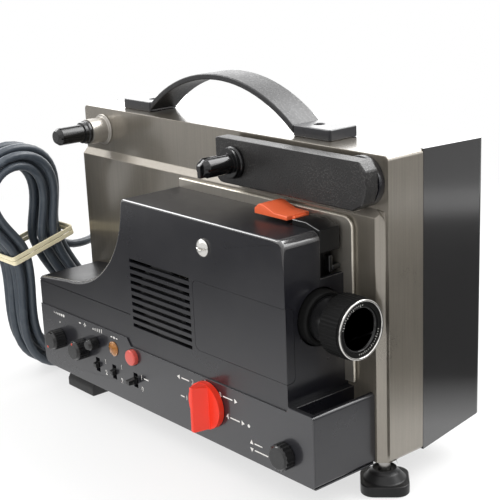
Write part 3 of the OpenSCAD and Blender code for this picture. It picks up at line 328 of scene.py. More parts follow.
@dataclass(frozen=True)
class BrightMetal(Finish):
    """Bare or plated metal with fine scratches and a little tarnish."""

    roughness: float = 0.16
    tarnish: Colour = tone(120, 112, 100)

    def paint(self, sheet: NodeSheet) -> None:
        """Set up scratches and tarnish."""
        place = sheet.place()
        lines = sheet.noise(place, 1500, 3)
        spots = sheet.noise(place, 90, 4, 0.6)
        stain = spots.over(0.55, 0.35) * 0.4
        sheet.surface({
            "Base Color": sheet.mix(stain, self.colour, self.tarnish),
            "Metallic": 1.0,
            "Roughness": (self.roughness + (lines - 0.5) * 0.12 + stain * 0.35).clamp(),
            "Normal": sheet.bump(lines, 0.004),
        })


@dataclass(frozen=True)
class Rubber(Finish):
    """Rubber with a dull skin, bloom and grime."""

    grime: Colour = tone(120, 108, 80)
    roughness: float = 0.6

    def paint(self, sheet: NodeSheet) -> None:
        """Set up bloom and grime."""
        place = sheet.place()
        skin = sheet.noise(place, 1300, 3)
        bloom = sheet.noise(place, 130, 4, 0.6)
        sheet.surface({
            "Base Color": sheet.mix(bloom.over(0.5, 0.4) * 0.45, self.colour, self.grime),
            "Roughness": (self.roughness + (bloom - 0.5) * 0.25).clamp(),
            "Normal": sheet.bump(skin, 0.02),
        })


@dataclass(frozen=True)
class TintedLens(Finish):
    """Clear tinted plastic over a dark pocket."""

    deep: Colour = tone(120, 60, 10)

    def paint(self, sheet: NodeSheet) -> None:
        """Set up a deep tint with a polished skin."""
        place = sheet.place()
        cloud = sheet.noise(place, 260, 3)
        sheet.surface({
            "Base Color": sheet.mix(cloud, self.colour, self.deep),
            "Roughness": 0.14 + (cloud - 0.5) * 0.1,
            "Transmission Weight": 0.25,
            "Coat Weight": 0.5,
            "Coat Roughness": 0.05,
        })


@dataclass(frozen=True)
class CoatedGlass(Finish):
    """Lens glass with a faint bloom."""

    def paint(self, sheet: NodeSheet) -> None:
        """Set up clear glass with a thin film of dust."""
        dust = sheet.noise(sheet.place(), 420, 4, 0.6).over(0.55, 0.3)
        sheet.surface({
            "Base Color": self.colour,
            "Roughness": 0.03 + dust * 0.06,
            "Transmission Weight": 1.0,
            "IOR": 1.52,
            "Coat Weight": 0.4,
            "Coat Roughness": 0.04,
        })


@dataclass(frozen=True)
class PrintedInk(Finish):
    """Screen-printed ink, a little worn."""

    worn: Colour = tone(120, 118, 116)

    def paint(self, sheet: NodeSheet) -> None:
        """Set up ink that is thin in places."""
        thin = sheet.noise(sheet.place(), 900, 3).over(0.58, 0.2) * 0.6
        sheet.surface({
            "Base Color": sheet.mix(thin, self.colour, self.worn),
            "Roughness": 0.5 + thin * 0.2,
        })


class Finishes:
    """The finishes on this object."""

    CASE = MetallicPaint("case_paint", tone(114, 108, 98), tone(150, 143, 131), 0.7, 0.3, 0.8, 1.8)
    STEP = MetallicPaint("step_paint", tone(128, 122, 113), tone(152, 146, 136), 0.5, 0.5, 0.1)
    DECK = MetallicPaint("deck_metal", tone(172, 166, 156), tone(204, 198, 188), 0.85, 0.3, 0.2)
    # Pale warm colour for the deck plate's rounded front edge: a painted highlight
    DECK_EDGE_HIGHLIGHT = MetallicPaint("deck_edge_highlight", tone(212, 205, 190), tone(236, 230, 216), 0.5, 0.34, 0.3)
    BLACK = MouldedPlastic("black_plastic", tone(22, 22, 27), 0.3, 1400.0, 0.006, 0.12, coat=0.4)
    COVER = MouldedPlastic("cover_black", tone(15, 14, 15), 0.2, 900.0, 0.006, 0.0, coat=1.0, lacquer=1.9)
    FASCIA = MouldedPlastic("fascia_black", tone(28, 28, 33), 0.3, 1600.0, 0.005, 0.14, coat=0.5, lacquer=1.7)
    GLOSS = MouldedPlastic("gloss_black", tone(14, 14, 15), 0.2, 900.0, 0.004, 0.08, coat=0.4, gloss=0.35)
    # Lighter grey for rounded edges, rims and facets: mostly a painted highlight standing in for their glint,
    # partly edge wear
    WORN_HIGHLIGHT = MouldedPlastic("worn_highlight_edge", tone(58, 57, 58), 0.2, 1400.0, 0.003, 0.2, coat=1.0, lacquer=1.7)
    DULL = MouldedPlastic("dull_black", tone(17, 17, 18), 0.36, 900.0, 0.006, 0.1, gloss=0.3)
    DUSTY = MouldedPlastic("dusty_black", tone(26, 26, 29), 0.34, 1400.0, 0.006, 0.3, gloss=0.16)
    RING = MouldedPlastic("ring_black", tone(15, 15, 15), 0.5, 900.0, 0.006, 0.04, gloss=0.1)
    GRAIN = GrainedPlastic("grain_black", tone(36, 35, 35), 0.34, 900.0, 0.06, tone(96, 94, 92))
    STRAP = GrainedPlastic("strap_black", tone(34, 34, 35), 0.4, 520.0, 0.04)
    COLLAR = MetallicPaint("collar_paint", tone(150, 146, 140), tone(180, 175, 167), 0.7, 0.32, 0.2)
    RED = MouldedPlastic("red_plastic", tone(236, 52, 28), 0.34, 900.0, 0.008, 0.05, tone(250, 190, 170))
    LEVER = MouldedPlastic("lever_red", tone(255, 116, 72), 0.34, 900.0, 0.008, 0.05, tone(255, 200, 180))
    BUTTON = MouldedPlastic("button_red", tone(206, 84, 74), 0.3, 900.0, 0.01, 0.12, tone(240, 190, 180), 0.2)
    AMBER = TintedLens("orange_lens", tone(206, 138, 52))
    NICKEL = BrightMetal("nickel", tone(214, 212, 208))
    STEEL = BrightMetal("steel", tone(168, 166, 162), 0.3)
    BRASS = BrightMetal("brass", tone(196, 166, 104), 0.24, tone(110, 84, 44))
    GLASS = CoatedGlass("glass", tone(236, 240, 246))
    RUBBER = Rubber("rubber", tone(30, 30, 31), tone(92, 88, 82))
    CREAM = Rubber("cream_rubber", tone(238, 228, 194), tone(190, 176, 132))
    CORD = Rubber("cord_sheath", tone(62, 69, 77), tone(104, 112, 118), 0.36)
    BOARD = MouldedPlastic("board", tone(52, 96, 62), 0.4, 700.0, 0.02, 0.3)
    CERAMIC = Rubber("ceramic", tone(222, 216, 204), tone(150, 136, 116), 0.5)
    WHITE = PrintedInk("film_white", tone(226, 224, 220))
    SCALE = PrintedInk("scale_ink", tone(170, 168, 164), tone(70, 69, 68))
    INK_RED = PrintedInk("ink_red", tone(214, 70, 52), tone(120, 60, 50))
    DARK = MouldedPlastic("dark_inside", tone(16, 16, 17), 0.6, 900.0, 0.01, 0.1)


class Bench:
    """Modelling moves made as by hand, on one object at a time."""

    MERGE_MM = 0.002
    FLAT_DEGREES = 0.4
    SMOOTH_DEGREES = 32.0
    SHARP_COSINE = 0.85

    @staticmethod
    def pick(*objects: bpy.types.Object) -> None:
        """Select these objects alone, the first of them active."""
        if bpy.context.object and bpy.context.object.mode != "OBJECT":
            bpy.ops.object.mode_set(mode="OBJECT")
        bpy.ops.object.select_all(action="DESELECT")
        for item in objects:
            item.select_set(True)
        bpy.context.view_layer.objects.active = objects[0]

    @staticmethod
    def edit_all(piece: bpy.types.Object) -> None:
        """Open a piece in edit mode with all of it selected."""
        Bench.pick(piece)
        bpy.ops.object.mode_set(mode="EDIT")
        bpy.ops.mesh.select_all(action="SELECT")

    @staticmethod
    def leave() -> None:
        """Go back to object mode."""
        bpy.ops.object.mode_set(mode="OBJECT")

    @staticmethod
    def added(name: str, data: bpy.types.ID) -> bpy.types.Object:
        """Add an object made of some data to the scene."""
        made = bpy.data.objects.new(name, data)
        bpy.context.scene.collection.objects.link(made)
        return made

    @staticmethod
    def copy_of(node: bpy.types.Object, name: str) -> bpy.types.Object:
        """Copy a frame node's shape as a merged mesh with whole flat faces."""
        piece = Bench.added(name, node.data.copy())
        piece.data.materials.clear()
        Bench.pick(piece)
        if piece.data.has_custom_normals:
            bpy.ops.mesh.customdata_custom_splitnormals_clear()
        Bench.edit_all(piece)
        bpy.ops.mesh.remove_doubles(threshold=Bench.MERGE_MM * MM)
        bpy.ops.mesh.dissolve_limited(angle_limit=math.radians(Bench.FLAT_DEGREES))
        Bench.leave()
        return piece

    @staticmethod
    def apply(piece: bpy.types.Object) -> None:
        """Apply all of a piece's modifiers."""
        Bench.pick(piece)
        for modifier in list(piece.modifiers):
            bpy.ops.object.modifier_apply(modifier=modifier.name)

    @staticmethod
    def soften(piece: bpy.types.Object, width: float, segments: int = 2, angle: float = 30.0) -> None:
        """Round the sharp edges of a piece by a width in millimetres."""
        bevel = piece.modifiers.new("edges", "BEVEL")
        bevel.limit_method = "ANGLE"
        bevel.angle_limit = math.radians(angle)
        bevel.width = width * MM
        bevel.segments = segments
        bevel.use_clamp_overlap = False
        bevel.miter_outer = "MITER_ARC"
        Bench.apply(piece)

    @staticmethod
    def smooth(piece: bpy.types.Object) -> None:
        """Shade a piece smooth except across its sharp edges."""
        Bench.pick(piece)
        bpy.ops.object.shade_smooth_by_angle(angle=math.radians(Bench.SMOOTH_DEGREES))
        weighted = piece.modifiers.new("normals", "WEIGHTED_NORMAL")
        weighted.keep_sharp = True
        Bench.apply(piece)

    @staticmethod
    def bevel_where(piece: bpy.types.Object, wanted: EdgeTest, width: float, segments: int = 3,
                    finish: int = -1, clamp: bool = True) -> None:
        """Round the sharp edges that a test picks by their place and the normals beside them.

        Args:
            piece: the piece.
            wanted: says from an edge's middle, in case millimetres, and its two normals if it is picked.
            width: width of the rounding in millimetres.
            segments: how many faces make the rounding.
            finish: number of the material that the rounding takes.
            clamp: whether the rounding is kept narrower than the edges beside it.
        """
        Bench.pick(piece)
        bpy.context.tool_settings.mesh_select_mode = (False, True, False)
        bpy.ops.object.mode_set(mode="EDIT")
        bpy.ops.mesh.select_all(action="DESELECT")
        Bench.leave()
        mesh = piece.data
        sides: dict[tuple[int, int], list[Vector]] = {}
        for face in mesh.polygons:
            for key in face.edge_keys:
                sides.setdefault(key, []).append(face.normal.copy())
        for edge in mesh.edges:
            normals = sides.get(tuple(sorted(edge.vertices)), [])
            if len(normals) != 2 or normals[0].dot(normals[1]) > Bench.SHARP_COSINE:
                continue
            first, second = (mesh.vertices[k].co for k in edge.vertices)
            edge.select = wanted(in_case((first + second) / 2), normals[0], normals[1])
        bpy.ops.object.mode_set(mode="EDIT")
        bpy.ops.mesh.bevel(offset=width * MM, segments=segments, affect="EDGES", clamp_overlap=clamp,
                           material=finish)
        Bench.leave()

    @staticmethod
    def repaint(piece: bpy.types.Object, wanted: FaceTest, finish: int) -> None:
        """Give a material number to the faces that a test picks by middle and normal."""
        for face in piece.data.polygons:
            if wanted(in_case(face.center), face.normal):
                face.material_index = finish

    @staticmethod
    def settle(piece: bpy.types.Object, name: str) -> bpy.types.Object:
        """Put a new piece's place into its mesh and name it."""
        Bench.pick(piece)
        bpy.ops.object.transform_apply(location=True, rotation=True, scale=True)
        piece.name = name
        piece.data.name = name
        return piece

    @staticmethod
    def turn(piece: bpy.types.Object, angle: float, axis: str, centre: Point) -> None:
        """Turn a piece's mesh by an angle in radians about an axis through a case point."""
        Bench.edit_all(piece)
        bpy.ops.transform.rotate(value=angle, orient_axis=axis, center_override=at(*centre))
        Bench.leave()

    @staticmethod
    def rod(name: str, centre: Point, radius: float, length: float, sides: int) -> bpy.types.Object:
        """Add a bar that points to the front, all in case millimetres.

        Args:
            name: name of the piece.
            centre: its middle.
            radius: its radius.
            length: its length.
            sides: facets round it.

        Returns:
            The new piece.
        """
        bpy.ops.object.select_all(action="DESELECT")
        bpy.ops.mesh.primitive_cone_add(vertices=sides, radius1=radius * MM, radius2=radius * MM,
                                        depth=length * MM, location=at(*centre), rotation=FRONT)
        return Bench.settle(bpy.context.object, name)

    @staticmethod
    def block(name: str, low: Sequence[float], high: Sequence[float]) -> bpy.types.Object:
        """Add a block between two corners in case millimetres."""
        size = Vector(high) - Vector(low)
        bpy.ops.object.select_all(action="DESELECT")
        bpy.ops.mesh.primitive_cube_add(size=MM, location=(at(*low) + at(*high)) / 2)
        bpy.context.object.scale = size
        return Bench.settle(bpy.context.object, name)

    @staticmethod
    def join(pieces: Sequence[bpy.types.Object], name: str) -> bpy.types.Object:
        """Join pieces into one."""
        Bench.pick(*pieces)
        if len(pieces) > 1:
            bpy.ops.object.join()
        joined = bpy.context.object
        joined.name = name
        joined.data.name = name
        return joined


class Workshop:
    """The loaded frame with its bodies, slots and the finishes made so far."""

    def __init__(self, frame: dict) -> None:
        """Read which body and slot each node of the frame has."""
        self.nodes: dict[str, bpy.types.Object] = frame["nodes"]
        record = frame["record"]
        self.body = {node: body for body, nodes in record["behaviour"]["bodies"].items() for node in nodes}
        self.slot = {part["node"]: part["material_slot"] for part in record["subparts"]}
        self.made: dict[str, bpy.types.Material] = {}

    def material(self, finish: Finish) -> bpy.types.Material:
        """Material of a finish, made at its first use."""
        if finish.name not in self.made:
            self.made[finish.name] = finish.material()
        return self.made[finish.name]

    def paint(self, node: str, finish: Finish) -> None:
        """Give a frame node that stays in view its finish."""
        data = self.nodes[node].data
        data.materials.clear()
        data.materials.append(self.material(finish))
        LOG.info("finish %s on %s", finish.name, node)

    def fit(self, piece: bpy.types.Object, like: str, finish: Finish | None = None) -> None:
        """Give a new piece its finish and the body of a node.

        Args:
            piece: the new piece.
            like: node whose body carries the piece.
            finish: finish of the piece, unless it has its own already.
        """
        if finish:
            piece.data.materials.append(self.material(finish))
        if piece.type == "MESH":
            Bench.smooth(piece)
        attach(piece, self.body[like])
        LOG.info("piece %s rides on %s", piece.name, self.body[like])

    def copy(self, node: str, *finishes: Finish) -> bpy.types.Object:
        """Copy a node's shape for rework, with its finishes in the order of their numbers."""
        piece = Bench.copy_of(self.nodes[node], node + "_dressed")
        for finish in finishes:
            piece.data.materials.append(self.material(finish))
        return piece

    def stand_in(self, piece: bpy.types.Object, node: str) -> bpy.types.Object:
        """Put a reworked copy in the place of its node."""
        self.fit(piece, node)
        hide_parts(node)
        return piece

    def dressed(self, node: str, finish: Finish, edge: float, segments: int = 2) -> bpy.types.Object:
        """Stand a copy with rounded edges in for a node.

        Args:
            node: the frame node.
            finish: finish of the copy.
            edge: width of the rounded edges in millimetres.
            segments: faces across each rounded edge.

        Returns:
            The copy.
        """
        piece = self.copy(node, finish)
        Bench.soften(piece, edge, segments)
        return self.stand_in(piece, node)


@dataclass
class PhotoCamera:
    """Camera at the photograph's viewpoint, with its place in case millimetres."""

    place: Point = (732.5, -464.8, 314.6)
    azimuth: float = 49.90
    elevation: float = 15.99
    roll: float = -2.34
    focal_px: float = 1183.3
    frame_px: float = 500.0
    sensor: float = 36.0

    def build(self) -> None:
        """Add the camera and make it the scene's."""
        turn, rise, roll = (math.radians(a) for a in (self.azimuth, self.elevation, self.roll))
        back = Vector((math.sin(turn) * math.cos(rise), -math.cos(turn) * math.cos(rise), math.sin(rise)))
        right = Vector((math.cos(turn), math.sin(turn), 0.0))
        above = back.cross(right)
        level = math.cos(roll) * right + math.sin(roll) * above
        upright = math.cos(roll) * above - math.sin(roll) * right
        data = bpy.data.cameras.new("photo_camera")
        data.sensor_fit = "HORIZONTAL"
        data.sensor_width = self.sensor
        data.lens = self.focal_px / self.frame_px * self.sensor
        data.clip_start = 0.01
        camera = Bench.added("photo_camera", data)
        turned = Matrix((level, upright, back)).transposed().to_4x4()
        camera.matrix_world = Matrix.Translation(at(*self.place)) @ turned
        bpy.context.scene.camera = camera


@dataclass
class Stage:
    """White floor, white surroundings and soft lamps."""

    floor_size: float = 9.0
    floor_tone: Colour = tone(246, 246, 245)
    floor_glow: float = 0.66
    slant_way: Point = (0.77, 0.64, 0.0)
    white_from: float = 0.3
    white_over: float = 0.45
    ambient: float = 0.3
    # How far the mirrored floor is dimmed in front of the case, close behind it and far behind it: painted
    # shade on the floor that only gloss and glass see
    front_dim: float = 0.84
    near_dim: float = 0.88
    far_dim: float = 0.6
    lamps_aim: Point = (150.0, 20.0, 80.0)

    @staticmethod
    def ray(sheet: NodeSheet, kind: Ray) -> Wire:
        """Mask of one kind of light path."""
        return sheet.node("ShaderNodeLightPath", out=kind.value)

    def mirrored(self, sheet: NodeSheet) -> Wire:
        """Mask that is 1 for what shows in gloss or through glass."""
        return self.ray(sheet, Ray.GLOSSY).highest(self.ray(sheet, Ray.TRANSMISSION))

    def floor(self) -> None:
        """Lay the floor, white to the eye but with the object's shadow, and with painted shade where gloss
        mirrors it.
        """
        bpy.ops.object.select_all(action="DESELECT")
        bpy.ops.mesh.primitive_plane_add(size=self.floor_size, location=(0.0, 0.0, 0.0))
        plane = bpy.context.object
        plane.name = "floor"
        finish = bpy.data.materials.new("floor_white")
        finish.use_nodes = True
        sheet = NodeSheet(finish.node_tree)
        sheet.surface({"Base Color": self.floor_tone, "Roughness": 0.7, "Specular IOR Level": 0.2})
        spot = sheet.node("ShaderNodeTexCoord", out="Object")
        away = sheet.node("ShaderNodeVectorMath", {"operation": "LENGTH"}, {0: spot}, "Value")
        slant = sheet.node("ShaderNodeVectorMath", {"operation": "DOT_PRODUCT"},
                           {0: spot, 1: self.slant_way}, "Value")
        front = (0.0 - slant).over(0.14, 0.3) - (0.0 - slant).over(0.6, 0.1) * 0.6
        near = slant.over(0.2, 0.08) - slant.over(0.73, 0.05)
        far = slant.over(0.85, 0.04)
        camera, mirrored = self.ray(sheet, Ray.CAMERA), self.mirrored(sheet)
        # Painted shade: the floor's glow seen in gloss and through glass is dimmed in bands about the case
        strength = 1.0 - mirrored * (front * self.front_dim + near * self.near_dim + far * self.far_dim)
        glow = sheet.node("ShaderNodeEmission", {}, {"Color": (1.0, 1.0, 1.0, 1.0), "Strength": strength})
        body = Wire(sheet, finish.node_tree.nodes["Principled BSDF"].outputs[0])
        white = self.floor_glow + away.over(self.white_from, self.white_over) * (1.0 - self.floor_glow)
        factor = (camera * white + mirrored).clamp()
        both = sheet.node("ShaderNodeMixShader", {}, {0: factor, 1: body, 2: glow})
        sheet.feed(finish.node_tree.nodes["Material Output"].inputs["Surface"], both)
        plane.data.materials.append(finish)

    def world(self) -> None:
        """Surround the object with white."""
        world = bpy.data.worlds.new("white_room")
        bpy.context.scene.world = world
        world.use_nodes = True
        sheet = NodeSheet(world.node_tree)
        seen = self.ray(sheet, Ray.CAMERA).highest(self.mirrored(sheet))
        strength = self.ambient + seen * (1.0 - self.ambient)
        background = world.node_tree.nodes["Background"]
        background.inputs["Color"].default_value = (1.0, 1.0, 1.0, 1.0)
        sheet.feed(background.inputs["Strength"], strength)

    def lamp(self, name: str, place: Point, size: tuple[float, float], power: float,
             glossy: bool = True) -> None:
        """Hang a soft lamp that faces the object.

        Args:
            name: name of the lamp.
            place: its middle, in metres.
            size: its width and height in metres.
            power: its power in watts.
            glossy: whether gloss mirrors it.
        """
        data = bpy.data.lights.new(name, "AREA")
        data.shape = "RECTANGLE"
        data.size, data.size_y = size
        data.energy = power
        lamp = Bench.added(name, data)
        lamp.location = place
        lamp.rotation_euler = (at(*self.lamps_aim) - Vector(place)).to_track_quat("-Z", "Y").to_euler()
        lamp.visible_camera = False
        lamp.visible_glossy = glossy

    def build(self) -> None:
        """Set up floor, surroundings, lamps and the view."""
        self.floor()
        self.world()
        self.lamp("top_lamp", (0.0, 0.1, 1.5), (3.4, 3.4), 26.0)
        self.lamp("high_lamp", (0.27, 1.0, 1.31), (1.4, 0.8), 22.0)
        self.lamp("edge_lamp", (-1.1, -0.4, 1.02), (1.3, 0.36), 9.0)
        self.lamp("back_lamp", (-1.45, 1.25, 0.75), (2.4, 1.1), 14.0)
        self.lamp("right_lamp", (1.3, 0.9, 0.9), (0.9, 0.7), 5.0)
        self.lamp("front_lamp", (0.5, -1.3, 0.7), (1.0, 0.8), 9.0, glossy=False)
        bpy.context.scene.view_settings.view_transform = "Standard"


@dataclass
class MainsCord:
    """Mains lead: out of its gland, wound into a banded hank beside the case, and on to its plug."""

    diameter: float = 6.4
    gland_end: Point = (-20.0, 69.5, 72.5)
    plug_at: Point = (-20.0, 60.0, -5.8)
    floor_at: float = -14.7
    bend: float = 28.0
    lead_bend: float = 27.0
    lead_over: float = 34.0
    lead_start: float = 2.0
    straight: float = 3.0
    hank_at: Point = (-38.0, -39.8, 82.0)
    tilt: float = 15.5
    loops: int = 2
    layers: int = 4
    rings: int = 72
    hank_from: float = 19.5
    hank_to: float = 265.5
    layer_step: float = 7.4
    loop_step: float = 7.2
    waist_step: float = 8.65
    waist_half: float = 6.9
    lobe_half: float = 38.0
    lobe_step: float = 9.4
    upper_half: float = 62.0
    lower_half: float = 84.5
    upper_flat: float = 0.36
    lower_flat: float = 0.21
    strand_shift: float = 1.8
    strand_squeeze: float = 0.46

    def hank_point(self, angle: float) -> Vector:
        """Point of the figure-of-eight winding at an angle in degrees."""
        turn = angle / 360
        sweep = turn / self.loops
        rank = self.loops * abs(1 - (sweep - 2 * math.floor(sweep / 2)))
        if turn < 0:
            rank = self.loops - turn
        layer = 0.0
        for change in range(1, self.layers):
            rise = min(max((turn - change * self.loops) * 2 + 0.5, 0), 1)
            layer += rise * rise * (3 - 2 * rise)
        across, along = math.cos(math.radians(angle)), math.sin(math.radians(angle))
        half, flat = self.lower_half, self.lower_flat
        if along > 0:
            half, flat = self.upper_half, self.upper_flat
        lobe = (self.lobe_half + self.lobe_step * rank) * along * along
        y = across * (self.waist_half + rank * self.waist_step + lobe)
        z = along * (half + rank * self.loop_step) * (1 - flat * across * across)
        lean = math.radians(self.tilt)
        turned = Vector((layer * self.layer_step, y * math.cos(lean) - z * math.sin(lean),
                         y * math.sin(lean) + z * math.cos(lean)))
        return Vector(self.hank_at) + turned

    def hank(self) -> list[Vector]:
        """Winding with a short straight piece at both ends."""
        end = 360 * (self.layers * self.loops - 1) + self.hank_to
        steps = math.ceil((end - self.hank_from) / 360 * self.rings)
        body = [self.hank_point(self.hank_from + (end - self.hank_from) * k / steps)
                for k in range(steps + 1)]
        first = body[0] + (body[0] - body[1]).normalized() * self.diameter
        last = body[-1] + (body[-1] - body[-2]).normalized() * self.diameter
        return [first, *body, last]

    def lead(self, joint: Vector, away: Vector) -> list[Vector]:
        """Level route from the gland, round to the front and up into the start of the hank."""
        start = Vector(self.gland_end)
        end = joint + away * self.straight
        radius, over = self.lead_bend, math.radians(self.lead_over)
        first = start - Vector((self.lead_start, radius, 0.0))
        side = self.hank_at[0] - first.x + radius
        run = (side - 2 * radius * (1 - math.cos(over))) / math.sin(over)
        last = first.y - 2 * radius * math.sin(over) - run * math.cos(over)
        drop = end.z - radius - start.z

        def height(part: float) -> float:
            """Height of the lead as it eases down to its lowest place."""
            return start.z + drop * part * part * (3 - 2 * part)

        route = [start]
        for step in range(14):
            angle = (math.pi / 2 + over) * step / 14
            route.append(Vector((first.x - radius * math.sin(angle), first.y + radius * math.cos(angle),
                                 height(0.75 * step / 14))))
        for step in range(5):
            angle = over * (1 - step / 4)
            route.append(Vector((self.hank_at[0] - radius + radius * math.cos(angle),
                                 last + radius * math.sin(angle), height(0.8 + step / 20))))
        for step in range(1, 9):
            angle = math.radians(10 * step)
            route.append(end + Vector((0.0, radius * (1 - math.sin(angle)), -radius * math.cos(angle))))
        return [*route, end]

    def tail(self, joint: Vector, away: Vector) -> list[Vector]:
        """Route from the end of the hank along the floor and up into the plug."""
        start = joint + away * self.straight
        plug = Vector(self.plug_at)
        end = plug - Vector((0.0, self.straight, 0.0))
        steep = math.acos(1 - (end.z - self.floor_at) / self.bend / 2)
        rise = end.y - 2 * self.bend * math.sin(steep)
        route = [start, start + Vector((-0.3, 8.0, -0.7)),
                 Vector((start.x - 1, (start.y + rise) / 2, self.floor_at))]
        for step in range(4):
            angle = steep * step / 3
            route.append(Vector((plug.x + 2.2 - math.degrees(angle) / 20, rise + self.bend * math.sin(angle),
                                 self.floor_at + self.bend * (1 - math.cos(angle)))))
        for step in (2, 1):
            angle = steep * step / 3
            route.append(Vector((plug.x + step / 8, end.y - self.bend * math.sin(angle),
                                 end.z - self.bend * (1 - math.cos(angle)))))
        return [*route, end, plug]

    @staticmethod
    def eased(route: Sequence[Vector], steps: int) -> list[Vector]:
        """Smooth line through a route, with so many steps in each span."""
        line = []
        for k in range(len(route) - 1):
            before, here = route[max(k - 1, 0)], route[k]
            there, after = route[k + 1], route[min(k + 2, len(route) - 1)]
            for step in range(steps):
                u = step / steps
                line.append(0.5 * (2 * here + (there - before) * u
                                   + (2 * before - 5 * here + 4 * there - after) * u * u
                                   + (3 * here - before - 3 * there + after) * u * u * u))
        return [*line, route[-1]]

    def route(self) -> list[Vector]:
        """Whole route from the gland to the plug, in case millimetres."""
        hank = self.hank()
        start = (hank[0] - hank[1]).normalized()
        finish = (hank[-1] - hank[-2]).normalized()
        return [*self.lead(hank[0], start), *hank, *self.eased(self.tail(hank[-1], finish), 3)]

    def build(self, shop: Workshop) -> None:
        """Make the cord as one curve, with its gland, band and plug."""
        points = [at(*point) for point in self.route()]
        data = bpy.data.curves.new("mains_cord", "CURVE")
        data.dimensions = "3D"
        data.bevel_depth = self.diameter / 2 * MM
        data.bevel_resolution = 3
        data.use_fill_caps = True
        spline = data.splines.new("POLY")
        spline.points.add(len(points) - 1)
        for place, point in zip(spline.points, points):
            place.co = (*point, 1.0)
        spline.use_smooth = True
        cord = Bench.added("mains_cord", data)
        shop.fit(cord, "cord_hank", Finishes.CORD)
        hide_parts("cord_lead", "cord_hank", "cord_tail")
        gland = shop.dressed("cord_gland", Finishes.RUBBER, 0.25)
        plug = shop.dressed("mains_plug", Finishes.RUBBER, 0.5)
        band = self.band(shop)

    def band(self, shop: Workshop) -> bpy.types.Object:
        """Make the rubber band of the hank as two strands."""
        strands = []
        lean = math.radians(self.tilt)
        along = Vector((0.0, -math.sin(lean), math.cos(lean)))
        for shift in (-1.0, 1.0):
            strand = Bench.copy_of(shop.nodes["cord_band"], "cord_band_strand")
            middle = sum((v.co for v in strand.data.vertices), Vector()) / len(strand.data.vertices)
            for vertex in strand.data.vertices:
                offset = (vertex.co - middle).dot(along)
                vertex.co += along * (shift * self.strand_shift * MM - offset * self.strand_squeeze)
            strands.append(strand)
        band = Bench.join(strands, "cord_band_strands")
        Bench.soften(band, 0.5, 3)
        shop.fit(band, "cord_band", Finishes.CREAM)
        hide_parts("cord_band")
        return band


@dataclass
class CaseShell:
    """Painted front shell with its deck plate, and the black rear cover."""

    shell_edge: float = 0.45
    deck_edge: float = 0.9
    cover_edge: float = 1.1
    vent_edge: float = 0.15

    def lit_deck_edge(self, middle: Vector, normal: Vector) -> bool:
        """Say if a face is on the rounded front edge of the deck plate, painted pale as its highlight."""
        return -0.96 < normal.y < -0.1

    def step(self, middle: Vector, normal: Vector) -> bool:
        """Say if a face is on the sloping top of the raised panel."""
        return normal.y < -0.2 and normal.z > 0.2

    def outline(self, cover: bpy.types.Object) -> EdgeTest:
        """Make the test for the cover's outer edges, without the seam at the shell."""
        points = [in_case(vertex.co) for vertex in cover.data.vertices]
        low = [min(point[k] for point in points) for k in range(3)]
        high = [max(point[k] for point in points) for k in range(3)]

        def wanted(middle: Vector, first: Vector, second: Vector) -> bool:
            """Say if an edge lies on two sides of the cover's box."""
            near = sum(min(middle[k] - low[k], high[k] - middle[k]) < 0.1 for k in range(3))
            return near > 1 and middle.y > low[1] + 1

        return wanted

    def build(self, shop: Workshop) -> None:
        """Dress the shell, deck, cover and what holds them."""
        shell = shop.copy("front_shell", Finishes.CASE, Finishes.STEP)
        Bench.soften(shell, self.shell_edge)
        Bench.repaint(shell, self.step, 1)
        shop.stand_in(shell, "front_shell")
        deck = shop.copy("deck_plate", Finishes.DECK, Finishes.DECK_EDGE_HIGHLIGHT)
        Bench.soften(deck, self.deck_edge, 3)
        # Painted highlight: the deck's rounded front edge takes the pale edge colour
        Bench.repaint(deck, self.lit_deck_edge, 1)
        shop.stand_in(deck, "deck_plate")
        cover = shop.copy("rear_cover", Finishes.COVER)
        Bench.bevel_where(cover, self.outline(cover), self.cover_edge)
        Bench.soften(cover, self.vent_edge, 2, 50.0)
        shop.stand_in(cover, "rear_cover")
        shop.dressed("cover_screws", Finishes.STEEL, 0.2)
        shop.paint("chassis_plate", Finishes.STEEL)
        shop.dressed("bottom_plate", Finishes.BLACK, 0.3)


